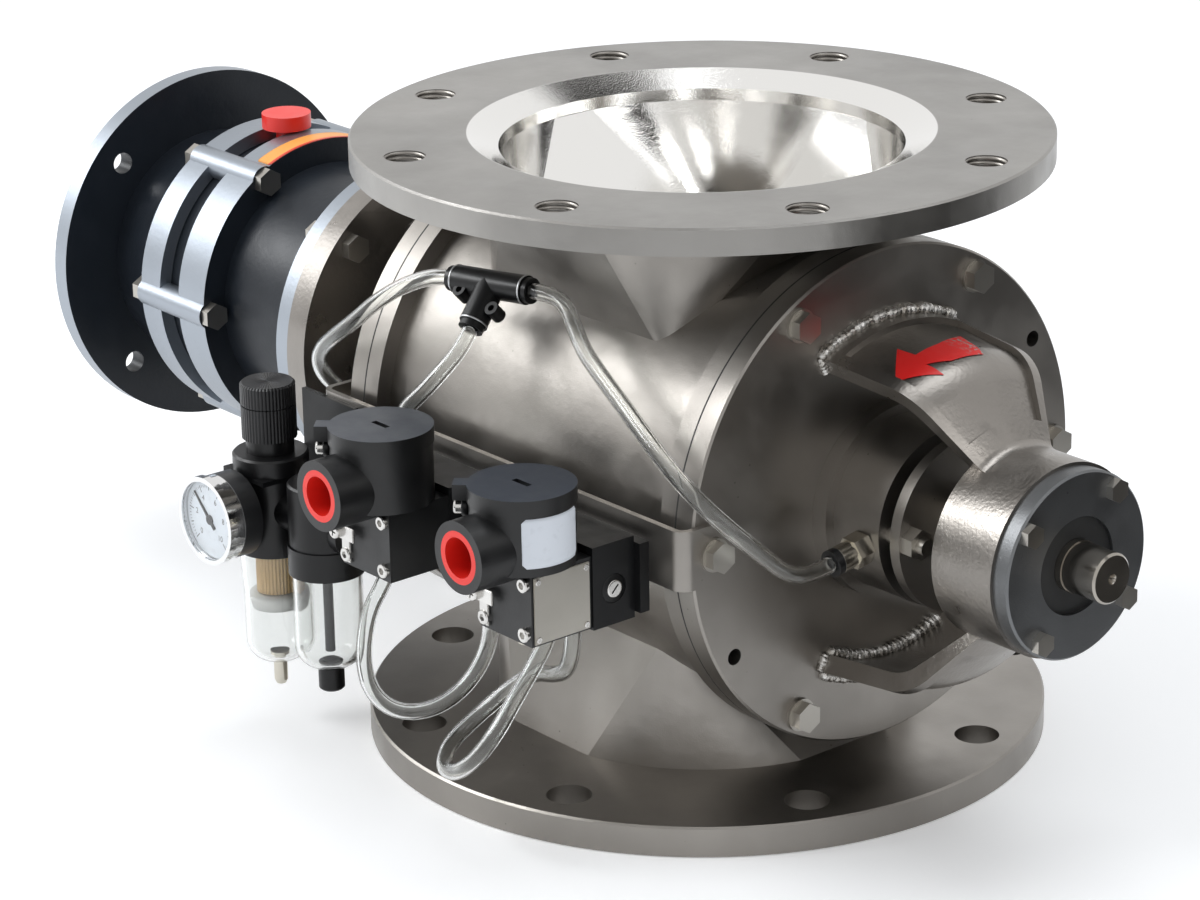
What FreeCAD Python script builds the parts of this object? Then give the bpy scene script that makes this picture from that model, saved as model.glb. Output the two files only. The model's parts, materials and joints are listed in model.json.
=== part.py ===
import FreeCAD, Part
import math
import os
import Sketcher
from FreeCAD import Placement, Rotation, Vector

# Rotary airlock valve with a cycloidal gear drive and shaft-seal air purge.
# The origin is the centre of the outlet flange's bottom face. +Z is up, +X runs along
# the rotor shaft to the non-drive end, and -Y is the side that carries the air equipment.

SIZES = {
    # housing and pipe flanges
    "face_to_face": 306, "pipe_flange_diameter": 340, "pipe_bolt_circle": 295, "pipe_bolt_count": 8,
    "inlet_flange_thickness": 13, "outlet_flange_thickness": 15, "inlet_thread_diameter": 20,
    "outlet_hole_diameter": 22, "flange_edge_break": 1, "throat_diameter": 196,
    "throat_flat_half": 12, "lip_width": 15, "lip_depth": 7, "barrel_wall": 11,
    "barrel_diameter": 226, "housing_length": 235, "end_flange_diameter": 243,
    "end_flange_thickness": 10, "neck_half_length": 66, "neck_half_width": 80,
    "neck_root_height": 70, "neck_corner_radius": 3, "neck_round_wall": 7,
    "neck_flat_half": 28, "neck_wall": 8, "throat_root_height": 62,
    # end covers
    "cover_thickness": 11.5, "gasket_thickness": 1, "cover_spigot_depth": 4,
    "spigot_clearance": 0.1, "cover_bolt_circle": 222, "cover_bolt_count": 6,
    "cover_thread_diameter": 8, "bolt_hole_clearance": 1, "cover_thread_depth": 9,
    "cover_head_width": 13, "cover_head_height": 5.5, "washer_thickness": 1.6,
    "washer_diameter": 16, "jack_screw_angle": 30,
    # stuffing boxes
    "hub_spigot_diameter": 60, "hub_spigot_depth": 8, "hub_collar_diameter": 95,
    "hub_collar_thickness": 9, "hub_diameter": 85, "hub_length": 39, "box_bore": 51,
    "box_floor": 5, "seal_shaft_clearance": 0.7, "packing_ring_count": 3,
    "packing_ring_width": 8.5, "packing_clearance": 0.05, "gland_gap": 7, "gland_thickness": 6,
    "gland_diameter": 84, "gland_nose_clearance": 0.2, "gland_stud_circle": 68,
    "gland_stud_diameter": 8, "gland_stud_count": 3, "gland_stud_grip": 12,
    "gland_nut_width": 13, "gland_nut_height": 6.5, "gland_stud_tail": 4,
    "purge_port_distance": 29, "purge_port_angle": 189, "purge_thread_diameter": 9.7,
    "purge_thread_length": 4, "purge_hex_width": 14, "purge_hex_height": 9,
    "purge_collar_diameter": 13, "purge_collar_length": 12,
    # bearing brackets
    "bracket_arm_half_angle": 29, "bracket_rim_angle": 4.5, "bracket_foot_radius": 89,
    "bracket_shoulder_radius": 83.5, "bracket_shoulder_distance": 57,
    "bracket_shoulder_round": 30, "bracket_root_distance": 84.5, "bracket_root_round": 6,
    "bracket_inner_foot_radius": 80, "bracket_inner_distance": 50,
    "bracket_inner_radius": 75.5, "bracket_inner_round": 22, "bracket_web_depth": 3,
    "bracket_web_start": 10, "bearing_housing_radius": 46,
    "bearing_housing_start": 77, "bearing_housing_end": 114, "bearing_shoulder_radius": 26,
    "bearing_seat_start": 96, "cap_thickness": 9, "cap_diameter": 89, "cap_bore": 46.4,
    "cap_spigot_depth": 2, "cap_bolt_circle": 77, "cap_bolt_angle": 53.6,
    "cap_thread_diameter": 6, "cap_thread_depth": 12, "cap_head_width": 10,
    "cap_head_height": 4, "far_seat_start": 78, "far_housing_start": 74,
    "far_root_radius": 51, "adapter_start": 81, "adapter_thickness": 15, "adapter_diameter": 182,
    "adapter_bolt_circle": 161, "adapter_bolt_diameter": 8, "adapter_head_width": 13,
    "adapter_head_height": 5.5,
    # bearings, shaft and rotor
    "bearing_outside": 62, "bearing_bore": 30, "bearing_width": 16, "bearing_ring_wall": 4,
    "bearing_seal_gap": 0.06, "shaft_diameter": 35, "stub_diameter": 25,
    "centre_hole_radius": 2.5, "centre_hole_depth": 5, "near_seat_tail": 1.5,
    "near_stub_length": 31, "far_stub_length": 48, "shaft_end_diameter": 24,
    "shaft_end_length": 20, "shaft_end_bevel": 1,
    "cap_seal_start": 2,
    "shaft_seal_width": 5, "shaft_seal_gap": 0.08, "shaft_seal_recess": 3,
    "rotor_tip_clearance": 0.25, "rotor_end_clearance": 0.5, "rotor_hub_diameter": 62,
    "vane_count": 8, "vane_thickness": 6, "vane_tip_bevel": 3,
    # cycloidal gear unit, distances measured from the joint with the adapter
    "output_flange_thickness": 11, "output_flange_diameter": 180, "output_neck_radius": 62,
    "output_root_radius": 69.5, "output_length": 88, "ring_diameter": 166,
    "output_rim_thickness": 12, "case_front_thickness": 12, "case_gap": 18,
    "case_back_thickness": 9, "input_rim_thickness": 9, "pin_case_diameter": 150,
    "tie_bolt_circle": 156, "tie_bolt_count": 6,
    "tie_bolt_diameter": 8, "tie_boss_diameter": 16, "tie_head_width": 13,
    "tie_head_height": 5.5, "tie_nut_height": 6.5, "input_hub_radius": 70,
    "input_root_radius": 66, "input_hub_length": 54, "motor_flange_thickness": 11,
    "motor_flange_diameter": 200, "motor_bolt_circle": 165, "motor_hole_diameter": 12,
    "motor_register_diameter": 130, "motor_register_depth": 4, "motor_bore_radius": 46,
    "motor_shaft_bore": 19, "carrier_radius": 21, "carrier_start": 2, "carrier_flange_radius": 48,
    "carrier_flange_end": 104, "carrier_flange_thickness": 8, "carrier_bearing_radius": 36,
    "carrier_bearing_width": 14, "carrier_bearing_first": 14, "carrier_bearing_last": 72,
    "output_seal_width": 8, "output_throat_radius": 26, "output_cavity_radius": 60,
    "output_cavity_start": 90, "disc_start": 110, "running_gap": 0.06,
    "reduction_ratio": 17, "lobe_arc_count": 8, "pin_circle_radius": 58, "ring_pin_diameter": 7,
    "ring_pin_length": 22, "ring_pin_start": 106, "eccentricity": 1.75, "disc_thickness": 14, "disc_clearance": 0.12,
    "eccentric_radius": 20, "eccentric_bearing_wall": 8,
    "drive_pin_circle": 80, "drive_pin_diameter": 10, "drive_pin_count": 6,
    "journal_radius": 15, "journal_bearing_radius": 28, "journal_bearing_width": 13,
    "journal_seat_start": 146, "input_seal_width": 7, "input_throat_radius": 22,
    "input_shaft_end": 198, "motor_shaft_depth": 50, "pilot_radius": 8, "pilot_start": 99,
    "pilot_recess_start": 98, "breather_diameter": 27, "breather_height": 8,
    "breather_stem_diameter": 12, "side_plug_diameter": 9, "side_plug_height": 3,
    # strap and valves
    "strap_thickness": 3, "strap_height": 29, "strap_gap": 5.5,
    "strap_spacer_diameter": 16, "strap_bend_radius": 4,
    "strap_tab_length": 29, "strap_far_standoff": 9,
    "manifold_depth": 5.5, "manifold_height": 34, "manifold_end_margin": 4,
    "valve_pitch": 105, "valve_axis_distance": 86.5, "valve_depth": 24.5, "valve_height": 40,
    "valve_length": 66, "valve_front_overhang": 19.5, "valve_bottom_height": 121,
    "operator_width": 37, "operator_depth": 35, "operator_height": 35,
    "operator_bottom_height": 122, "coil_case_diameter": 48.5, "coil_case_top": 186,
    "coil_axis_distance": 184, "coil_lid_height": 7.5, "coil_lid_diameter": 50,
    "coil_lid_slot_length": 11, "coil_lid_slot_width": 3, "coil_lid_slot_depth": 2,
    "conduit_diameter": 34, "conduit_reach": 37, "conduit_height": 167, "conduit_bore": 25,
    "conduit_bore_depth": 16, "conduit_plug_bore": 19, "conduit_plug_length": 13,
    "override_diameter": 14, "override_length": 7, "override_slot_width": 2,
    "override_slot_depth": 2, "override_height": 138.5, "override_proud": 1,
    "override_clearance": 0.06, "lid_ear_width": 9, "lid_ear_reach": 6,
    "valve_screw_diameter": 5, "valve_screw_inset": 6, "valve_screw_low": 14,
    "valve_screw_head_diameter": 8.5,
    "valve_screw_head_height": 3, "coil_screw_diameter": 4, "coil_screw_spacing": 29,
    "coil_screw_rise": 24, "coil_screw_head_diameter": 7, "coil_screw_head_height": 2.5,
    "coil_screw_depth": 12, "manifold_screw_spacing": 16,
    "port_bore": 9.7, "port_depth": 8, "air_port_spacing": 16.5, "air_port_setback": 8,
    "elbow_drop": 19, "elbow_diameter": 10.4, "elbow_foot": 1, "elbow_step": 0.5,
    "elbow_reach": 8.25, "supply_pipe_diameter": 9, "supply_port_inset": 16,
    "supply_port_height": 130, "supply_port_depth": 3,
    # filter regulator and lubricator
    "regulator_axis_distance": -137.5, "air_unit_offset": 165, "air_unit_pitch": 44,
    "knob_top": 180.5, "knob_cap_height": 11, "knob_diameter": 27.5, "knob_groove": 0.6,
    "knob_stem_diameter": 18, "knob_stem_top": 165,
    "knob_bottom": 152, "knob_stem_gap": 0.4, "bonnet_neck_diameter": 24, "collar_top": 144.5,
    "collar_bottom": 133, "collar_diameter": 38, "panel_nut_diameter": 38,
    "air_body_diameter": 36, "air_body_bottom": 93, "air_port_height": 117,
    "air_port_boss_diameter": 20, "bowl_diameter": 36, "bowl_lower_diameter": 33,
    "bowl_wall": 2, "bowl_neck_height": 70, "bowl_round": 12,
    "filter_bowl_bottom": 33, "drain_bottom": 19.5, "drain_diameter": 7, "drain_clearance": 0.05,
    "filter_diameter": 20, "filter_length": 22, "lubricator_collar_top": 108,
    "lubricator_collar_bottom": 93.5, "lubricator_top": 140, "lubricator_bowl_bottom": 43,
    "lubricator_drain_bottom": 30.5, "lubricator_drain_diameter": 13, "oil_tube_diameter": 5,
    "lubricator_bowl_diameter": 35,
    "air_bracket_thickness": 2.5, "air_bracket_width": 34,
    "air_bracket_tail": 27, "air_bracket_rise": 32, "gauge_diameter": 45,
    "gauge_reach": 41, "gauge_depth": 20, "gauge_stem_diameter": 13, "gauge_bezel_lip": 2.5,
    "gauge_boss_diameter": 17, "gauge_boss_reach": 19.5,
    "gauge_dial_recess": 4, "pointer_length": 17, "pointer_width": 1.6,
    "pointer_thickness": 0.8, "pointer_hub_diameter": 5, "pointer_gap": 0.4,
    # air tubes
    "tube_diameter": 8, "tube_bore": 5.5, "tee_x": -31.2, "tee_y": -106, "tee_height": 242,
    "tee_arm_length": 25, "tee_body_diameter": 14, "tee_lug_diameter": 7, "tee_lug_hole": 3.4,
    "tee_lug_length": 8, "push_ring_diameter": 12.5, "push_ring_length": 3,
    "port_fitting_hex": 14, "port_fitting_height": 7,
}

COUNTS = ("pipe_bolt_count", "cover_bolt_count", "gland_stud_count", "packing_ring_count",
          "vane_count", "tie_bolt_count", "drive_pin_count", "reduction_ratio",
          "lobe_arc_count")

doc = FreeCAD.newDocument("rotary_airlock_valve")
sheet = doc.addObject("Spreadsheet::Sheet", "sizes")
for row, (size_name, size_value) in enumerate(SIZES.items(), start=1):
    sheet.set("A%d" % row, size_name)
    sheet.set("B%d" % row, str(size_value))
    sheet.setAlias("B%d" % row, size_name)
doc.recompute()


class Term:
    """A size worked out from the sheet: its formula for the document and its number."""

    def __init__(self, text, number):
        self.text = text
        self.number = number

    def __add__(self, other):
        other = term(other)
        return Term("(%s + %s)" % (self.text, other.text), self.number + other.number)

    def __sub__(self, other):
        other = term(other)
        return Term("(%s - %s)" % (self.text, other.text), self.number - other.number)

    def __mul__(self, other):
        other = term(other)
        return Term("(%s * %s)" % (self.text, other.text), self.number * other.number)

    def __truediv__(self, other):
        other = term(other)
        return Term("(%s / %s)" % (self.text, other.text), self.number / other.number)

    def __neg__(self):
        return Term("(-1 * %s)" % self.text, -self.number)

    def __radd__(self, other):
        return term(other) + self

    def __rsub__(self, other):
        return term(other) - self

    def __rmul__(self, other):
        return term(other) * self


def term(value):
    """Wraps a plain number, so that it can stand beside sheet sizes in a formula."""
    if isinstance(value, Term):
        return value
    return Term("(%r)" % value if value < 0 else "%r" % value, float(value))


def sine(angle):
    angle = term(angle)
    return Term("sin(%s)" % angle.text, math.sin(math.radians(angle.number)))


def cosine(angle):
    angle = term(angle)
    return Term("cos(%s)" % angle.text, math.cos(math.radians(angle.number)))


def root(value):
    value = term(value)
    return Term("sqrt(%s)" % value.text, math.sqrt(value.number))


class SheetSizes:
    """Gives each alias of the sheet as a Term, and the counts as whole numbers."""


S = SheetSizes()
for size_name, size_value in SIZES.items():
    if size_name in COUNTS:
        setattr(S, size_name, int(size_value))
    else:
        setattr(S, size_name, Term("sizes." + size_name, float(size_value)))

nodes = {}
port_fittings = []
fitting_collars = []
gear_bolts = []


def bind(item, path, value):
    """Binds one property of a document object to a formula, and sets its number."""
    value = term(value)
    item.setExpression(path, value.text)


def bind_place(item, x, y, z, rotation=None):
    """Puts an object at a place given by formulas, with a fixed rotation."""
    x, y, z = term(x), term(y), term(z)
    item.Placement = Placement(Vector(x.number, y.number, z.number), rotation or Rotation())
    for letter, value in zip("xyz", (x, y, z)):
        item.setExpression("Placement.Base." + letter, value.text)


def new_body(label, x=0, y=0, z=0, rotation=None):
    """Starts a node made of features on its own origin planes."""
    body = doc.addObject("PartDesign::Body", label)
    body.Label = label
    bind_place(body, x, y, z, rotation)
    nodes[label] = body
    return body


def origin_feature(body, role):
    return next(item for item in body.Origin.OriginFeatures if item.Role == role)


def new_sketch(body, plane, offset=None):
    """Adds a sketch on one of the body's origin planes, shifted along its normal."""
    sketch = body.newObject("Sketcher::SketchObject", body.Label + "_sketch")
    sketch.AttachmentSupport = (origin_feature(body, plane), [""])
    sketch.MapMode = "FlatFace"
    if offset is not None:
        offset = term(offset)
        sketch.AttachmentOffset = Placement(Vector(0, 0, offset.number), Rotation())
        sketch.setExpression("AttachmentOffset.Base.z", offset.text)
    return sketch


def constrain(sketch, kind, *arguments):
    """Adds a size constraint, whose last argument is a Term, and binds it."""
    value = term(arguments[-1])
    index = sketch.addConstraint(Sketcher.Constraint(kind, *arguments[:-1], value.number))
    sketch.setExpression("Constraints[%d]" % index, value.text)


def fix_point(sketch, geometry, position, x, y):
    constrain(sketch, "DistanceX", -1, 1, geometry, position, x)
    constrain(sketch, "DistanceY", -1, 1, geometry, position, y)


def round_corner(before, corner, after, radius):
    """Returns the two tangent points, the centre and the turning sense of a rounded corner."""
    to_before = (before - corner).normalize()
    to_after = (after - corner).normalize()
    half_angle = to_before.getAngle(to_after) / 2
    reach = radius / math.tan(half_angle)
    middle = (to_before + to_after).normalize()
    centre = corner + middle * (radius / math.sin(half_angle))
    left_turn = (corner - before).cross(after - corner).z > 0
    return corner + to_before * reach, corner + to_after * reach, centre, left_turn


def outline(sketch, corners):
    """Draws a closed outline through corners (x, y) or rounded corners (x, y, radius)."""
    corners = [tuple(term(value) for value in corner) for corner in corners]
    points = [Vector(corner[0].number, corner[1].number, 0) for corner in corners]
    count = len(corners)
    rounds = {}
    for i, corner in enumerate(corners):
        if len(corner) == 3:
            rounds[i] = round_corner(points[i - 1], points[i], points[(i + 1) % count],
                                     corner[2].number)
    lines = []
    for i in range(count):
        j = (i + 1) % count
        start = rounds[i][1] if i in rounds else points[i]
        end = rounds[j][0] if j in rounds else points[j]
        lines.append(sketch.addGeometry(Part.LineSegment(start, end), False))
    for i, corner in enumerate(corners):
        line_in, line_out = lines[i - 1], lines[i]
        if i not in rounds:
            sketch.addConstraint(Sketcher.Constraint("Coincident", line_in, 2, line_out, 1))
            fix_point(sketch, line_out, 1, corner[0], corner[1])
            continue
        first, last, centre, left_turn = rounds[i]
        start, end = (first, last) if left_turn else (last, first)
        circle = Part.Circle(centre, Vector(0, 0, 1), corner[2].number)
        angles = [math.atan2(p.y - centre.y, p.x - centre.x) for p in (start, end)]
        if angles[1] < angles[0]:
            angles[1] += 2 * math.pi
        arc = sketch.addGeometry(Part.ArcOfCircle(circle, angles[0], angles[1]), False)
        ends = (1, 2) if left_turn else (2, 1)
        sketch.addConstraint(Sketcher.Constraint("Tangent", line_in, 2, arc, ends[0]))
        sketch.addConstraint(Sketcher.Constraint("Tangent", arc, ends[1], line_out, 1))
        constrain(sketch, "Radius", arc, corner[2])
        tip = sketch.addGeometry(Part.Point(points[i]), True)
        sketch.addConstraint(Sketcher.Constraint("PointOnObject", tip, 1, line_in))
        sketch.addConstraint(Sketcher.Constraint("PointOnObject", tip, 1, line_out))
        fix_point(sketch, tip, 1, corner[0], corner[1])


def circle(sketch, x, y, radius):
    x, y, radius = term(x), term(y), term(radius)
    shape = Part.Circle(Vector(x.number, y.number, 0), Vector(0, 0, 1), radius.number)
    index = sketch.addGeometry(shape, False)
    fix_point(sketch, index, 3, x, y)
    constrain(sketch, "Radius", index, radius)


def circle_ring(sketch, count, ring_radius, first_angle, radius):
    """Draws equal circles spaced evenly on a ring about the sketch's origin."""
    for i in range(count):
        angle = first_angle + i * 360.0 / count
        circle(sketch, ring_radius * cosine(angle), ring_radius * sine(angle), radius)


def radial_sketch(body, angle):
    """Adds a sketch through the body's x axis, facing outward at an angle about it."""
    sketch = new_sketch(body, "XY_Plane")
    sketch.AttachmentOffset = Placement(Vector(), Rotation(Vector(1, 0, 0), angle.number - 90))
    return sketch


def turned(u, v, angle):
    """A point given along and across a direction, as plain sketch coordinates."""
    return u * cosine(angle) - v * sine(angle), u * sine(angle) + v * cosine(angle)


AXES = {"x": ("XZ_Plane", "H_Axis"), "z": ("XZ_Plane", "V_Axis"), "y": ("YZ_Plane", "H_Axis")}


def revolve(body, axis, corners, cut=False, angle=None, plane=None, both_ways=False):
    """Turns an outline about the body's own x, y or z axis, to add or to cut."""
    sketch_plane, sketch_axis = AXES[axis]
    sketch = new_sketch(body, plane or sketch_plane)
    outline(sketch, corners)
    kind = "PartDesign::Groove" if cut else "PartDesign::Revolution"
    feature = body.newObject(kind, body.Label + ("_groove" if cut else "_turned"))
    feature.Profile = sketch
    feature.ReferenceAxis = (sketch, [sketch_axis])
    feature.Midplane = both_ways
    if angle is None:
        feature.Angle = 360
    else:
        feature.Angle = term(angle).number
        bind(feature, "Angle", angle)
    return feature


def pad(body, sketch, length, centred=False, reverse=False):
    feature = body.newObject("PartDesign::Pad", body.Label + "_pad")
    feature.Profile = sketch
    feature.Midplane = centred
    feature.Reversed = reverse
    bind(feature, "Length", length)
    return feature


def pocket(body, sketch, length=None, centred=False, reverse=False):
    """Cuts a sketch to a depth, or right through both ways when no depth is given."""
    feature = body.newObject("PartDesign::Pocket", body.Label + "_pocket")
    feature.Profile = sketch
    if length is None:
        feature.Type = "ThroughAll"
        feature.Midplane = True
    else:
        feature.Midplane = centred
        feature.Reversed = reverse
        bind(feature, "Length", length)
    return feature


def loft(body, lower, upper, cut=False):
    """Joins two outlines with flat and conical facets, to add or to cut."""
    kind = "PartDesign::SubtractiveLoft" if cut else "PartDesign::AdditiveLoft"
    feature = body.newObject(kind, body.Label + "_loft")
    feature.Profile = lower
    feature.Sections = [upper]
    feature.Ruled = True
    return feature


def polar(body, features, axis, count):
    """Repeats features evenly about one of the body's own axes."""
    feature = body.newObject("PartDesign::PolarPattern", body.Label + "_pattern")
    feature.Originals = features
    feature.Axis = (origin_feature(body, axis), [""])
    feature.Angle = 360
    feature.Occurrences = count
    body.Tip = feature
    return feature


def along(axis):
    """The rotation that takes +Z to an axis."""
    return Rotation(Vector(0, 0, 1), Vector(*axis))


def rod(x, y, z, axis, radius, length, name="rod"):
    item = doc.addObject("Part::Cylinder", name)
    bind(item, "Radius", radius)
    bind(item, "Height", length)
    bind_place(item, x, y, z, along(axis))
    return item


def hexagon(x, y, z, axis, width, height, name="hexagon"):
    item = doc.addObject("Part::Prism", name)
    item.Polygon = 6
    bind(item, "Circumradius", width / math.sqrt(3))
    bind(item, "Height", height)
    bind_place(item, x, y, z, along(axis))
    return item


def fuse(items, name="joined"):
    item = doc.addObject("Part::MultiFuse", name)
    item.Shapes = items
    return item


def cut(base, tool, name="cut"):
    item = doc.addObject("Part::Cut", name)
    item.Base = base
    item.Tool = tool
    return item


def group(label, items):
    """Makes one node from several separate solids."""
    item = doc.addObject("Part::Compound", label)
    item.Label = label
    item.Links = items
    nodes[label] = item
    return item


AXIS_HEIGHT = S.face_to_face / 2
ROTOR_BORE = S.barrel_diameter - 2 * S.barrel_wall
JOINT = S.housing_length / 2
COVER_FACE = JOINT + S.gasket_thickness + S.cover_thickness
HUB_END = COVER_FACE + S.hub_length
GEAR = COVER_FACE + S.adapter_start + S.adapter_thickness
NEAR, FAR = 1, -1


def side_name(side):
    return "near" if side == NEAR else "far"


def on_ring(radius, angle):
    """A place on a ring about the shaft, as its y and z."""
    return radius * cosine(angle), AXIS_HEIGHT + radius * sine(angle)


def corner_box(sketch, half_length, half_width, radius):
    outline(sketch, [(-half_length, -half_width, radius), (half_length, -half_width, radius),
                     (half_length, half_width, radius), (-half_length, half_width, radius)])


def flatted_circle(sketch, radius, flat_half):
    """A circle with four short flats, drawn as lines and arcs in the order of a box's sides."""
    radius, flat_half = term(radius), term(flat_half)
    reach = root(radius * radius - flat_half * flat_half)
    ends = [(-flat_half, -reach), (flat_half, -reach), (reach, -flat_half), (reach, flat_half),
            (flat_half, reach), (-flat_half, reach), (-reach, flat_half), (-reach, -flat_half)]
    points = [Vector(x.number, y.number, 0) for x, y in ends]
    pieces = []
    for i in range(0, 8, 2):
        pieces.append(sketch.addGeometry(Part.LineSegment(points[i], points[i + 1]), False))
        start, end = points[i + 1], points[(i + 2) % 8]
        angles = [math.atan2(p.y, p.x) for p in (start, end)]
        if angles[1] < angles[0]:
            angles[1] += 2 * math.pi
        full = Part.Circle(Vector(0, 0, 0), Vector(0, 0, 1), radius.number)
        pieces.append(sketch.addGeometry(Part.ArcOfCircle(full, angles[0], angles[1]), False))
    for i in range(0, 8, 2):
        line, arc, following = pieces[i], pieces[i + 1], pieces[(i + 2) % 8]
        fix_point(sketch, line, 1, *ends[i])
        fix_point(sketch, line, 2, *ends[i + 1])
        sketch.addConstraint(Sketcher.Constraint("Coincident", line, 2, arc, 1))
        sketch.addConstraint(Sketcher.Constraint("Coincident", arc, 2, following, 1))
        constrain(sketch, "Radius", arc, radius)


def housing():
    """The barrel with its two faceted box-to-round necks, and the two pipe flanges."""
    body = new_body("housing_body", z=AXIS_HEIGHT)
    flange_radius, barrel_radius = S.end_flange_diameter / 2, S.barrel_diameter / 2
    inner = JOINT - S.end_flange_thickness
    revolve(body, "x", [(-JOINT, 0), (-JOINT, flange_radius), (-inner, flange_radius),
                        (-inner, barrel_radius), (inner, barrel_radius),
                        (inner, flange_radius), (JOINT, flange_radius), (JOINT, 0)])
    ends = ((1, AXIS_HEIGHT - S.inlet_flange_thickness),
            (-1, -(AXIS_HEIGHT - S.outlet_flange_thickness)))
    for sign, end in ends:
        lower = new_sketch(body, "XY_Plane", sign * S.neck_root_height)
        corner_box(lower, S.neck_half_length, S.neck_half_width, S.neck_corner_radius)
        upper = new_sketch(body, "XY_Plane", end)
        flatted_circle(upper, S.throat_diameter / 2 + S.neck_round_wall, S.neck_flat_half)
        loft(body, lower, upper)
    for sign, end in ends:
        lower = new_sketch(body, "XY_Plane", sign * S.throat_root_height)
        corner_box(lower, S.neck_half_length - S.neck_wall, S.neck_half_width - S.neck_wall,
                   S.neck_corner_radius)
        upper = new_sketch(body, "XY_Plane", end)
        flatted_circle(upper, S.throat_diameter / 2, S.throat_flat_half)
        loft(body, lower, upper, cut=True)
    bore = new_sketch(body, "YZ_Plane")
    circle(bore, 0, 0, ROTOR_BORE / 2)
    pocket(body, bore)
    for side in (NEAR, FAR):
        holes = new_sketch(body, "YZ_Plane", side * JOINT)
        circle_ring(holes, S.cover_bolt_count, S.cover_bolt_circle / 2, 0,
                    S.cover_thread_diameter / 2)
        pocket(body, holes, S.cover_thread_depth, reverse=side == FAR)

    inlet = new_body("inlet_flange", z=S.face_to_face)
    outer, edge = S.pipe_flange_diameter / 2, S.flange_edge_break
    throat, bottom = S.throat_diameter / 2, -S.inlet_flange_thickness
    revolve(inlet, "z", [(throat, bottom), (outer, bottom), (outer, -edge), (outer - edge, 0),
                         (throat + S.lip_width, 0), (throat, -S.lip_depth)])
    holes = new_sketch(inlet, "XY_Plane")
    first_angle = 180.0 / S.pipe_bolt_count
    circle_ring(holes, S.pipe_bolt_count, S.pipe_bolt_circle / 2, first_angle,
                S.inlet_thread_diameter / 2)
    pocket(inlet, holes)

    outlet = new_body("outlet_flange")
    top = S.outlet_flange_thickness
    revolve(outlet, "z", [(throat, 0), (outer, 0), (outer, top - edge), (outer - edge, top),
                          (throat, top)])
    holes = new_sketch(outlet, "XY_Plane")
    circle_ring(holes, S.pipe_bolt_count, S.pipe_bolt_circle / 2, first_angle,
                S.outlet_hole_diameter / 2)
    pocket(outlet, holes)


def end_covers():
    """Flat covers with a locating spigot, their gaskets and their bolts."""
    outer, bore = S.end_flange_diameter / 2, ROTOR_BORE / 2
    hole = (S.cover_thread_diameter + S.bolt_hole_clearance) / 2
    ring = S.cover_bolt_circle / 2
    bolts, washers, gaskets = [], [], []
    for side in (NEAR, FAR):
        cover = new_body(side_name(side) + "_end_cover", z=AXIS_HEIGHT)
        back = JOINT + S.gasket_thickness
        hub = S.hub_spigot_diameter / 2
        spigot = bore - S.spigot_clearance
        corners = [(JOINT - S.cover_spigot_depth, hub), (COVER_FACE, hub),
                   (COVER_FACE, outer - 1), (COVER_FACE - 1, outer), (back, outer),
                   (back, spigot), (JOINT - S.cover_spigot_depth, spigot)]
        revolve(cover, "x", [(side * x, r) for x, r in corners])
        holes = new_sketch(cover, "YZ_Plane")
        circle_ring(holes, S.cover_bolt_count, ring, 0, hole)
        circle_ring(holes, 2, ring, S.jack_screw_angle, S.cover_thread_diameter / 2)
        pocket(cover, holes)
        gasket = new_body(side_name(side) + "_gasket", z=AXIS_HEIGHT)
        gaskets.append(nodes.pop(gasket.Label))
        revolve(gasket, "x", [(side * JOINT, bore), (side * JOINT, outer),
                              (side * back, outer), (side * back, bore)])
        holes = new_sketch(gasket, "YZ_Plane")
        circle_ring(holes, S.cover_bolt_count, ring, 0, hole)
        pocket(gasket, holes)
        axis = (side, 0, 0)
        for i in range(S.cover_bolt_count):
            angle = i * 360.0 / S.cover_bolt_count
            y, z = on_ring(ring, angle)
            seat = COVER_FACE
            if angle == 180:
                seat = seat + S.strap_thickness + (S.strap_far_standoff if side == FAR else 0)
            washer_outer = rod(side * seat, y, z, axis, S.washer_diameter / 2,
                               S.washer_thickness)
            washer_hole = rod(side * seat, y, z, axis, hole, S.washer_thickness)
            washers.append(cut(washer_outer, washer_hole))
            head = hexagon(side * (seat + S.washer_thickness), y, z, axis,
                           S.cover_head_width, S.cover_head_height)
            reach = seat + S.washer_thickness - (JOINT - S.cover_thread_depth + 1)
            shank = rod(side * (JOINT - S.cover_thread_depth + 1), y, z, axis,
                        S.cover_thread_diameter / 2, reach)
            bolts.append(fuse([head, shank]))
    y, z = on_ring(ring, 180)
    sleeve = rod(-COVER_FACE, y, z, (-1, 0, 0), S.strap_spacer_diameter / 2,
                 S.strap_far_standoff)
    sleeve_bore = rod(-COVER_FACE, y, z, (-1, 0, 0), hole, S.strap_far_standoff)
    group("cover_bolts", bolts + washers + [cut(sleeve, sleeve_bore)])
    group("cover_gaskets", gaskets)


def port_fitting(side):
    """A straight push-in fitting that points out of the stuffing box at the port's angle."""
    angle = S.purge_port_angle
    axis = (0, math.cos(math.radians(angle.number)), math.sin(math.radians(angle.number)))
    x = side * (COVER_FACE + S.purge_port_distance)
    surface = S.hub_diameter / 2
    seat = surface - S.purge_thread_length
    y, z = on_ring(seat, angle)
    thread = rod(x, y, z, axis, S.purge_thread_diameter / 2, S.purge_thread_length)
    y, z = on_ring(surface, angle)
    nut = hexagon(x, y, z, axis, S.purge_hex_width, S.purge_hex_height)
    return fuse([thread, nut])


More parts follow.
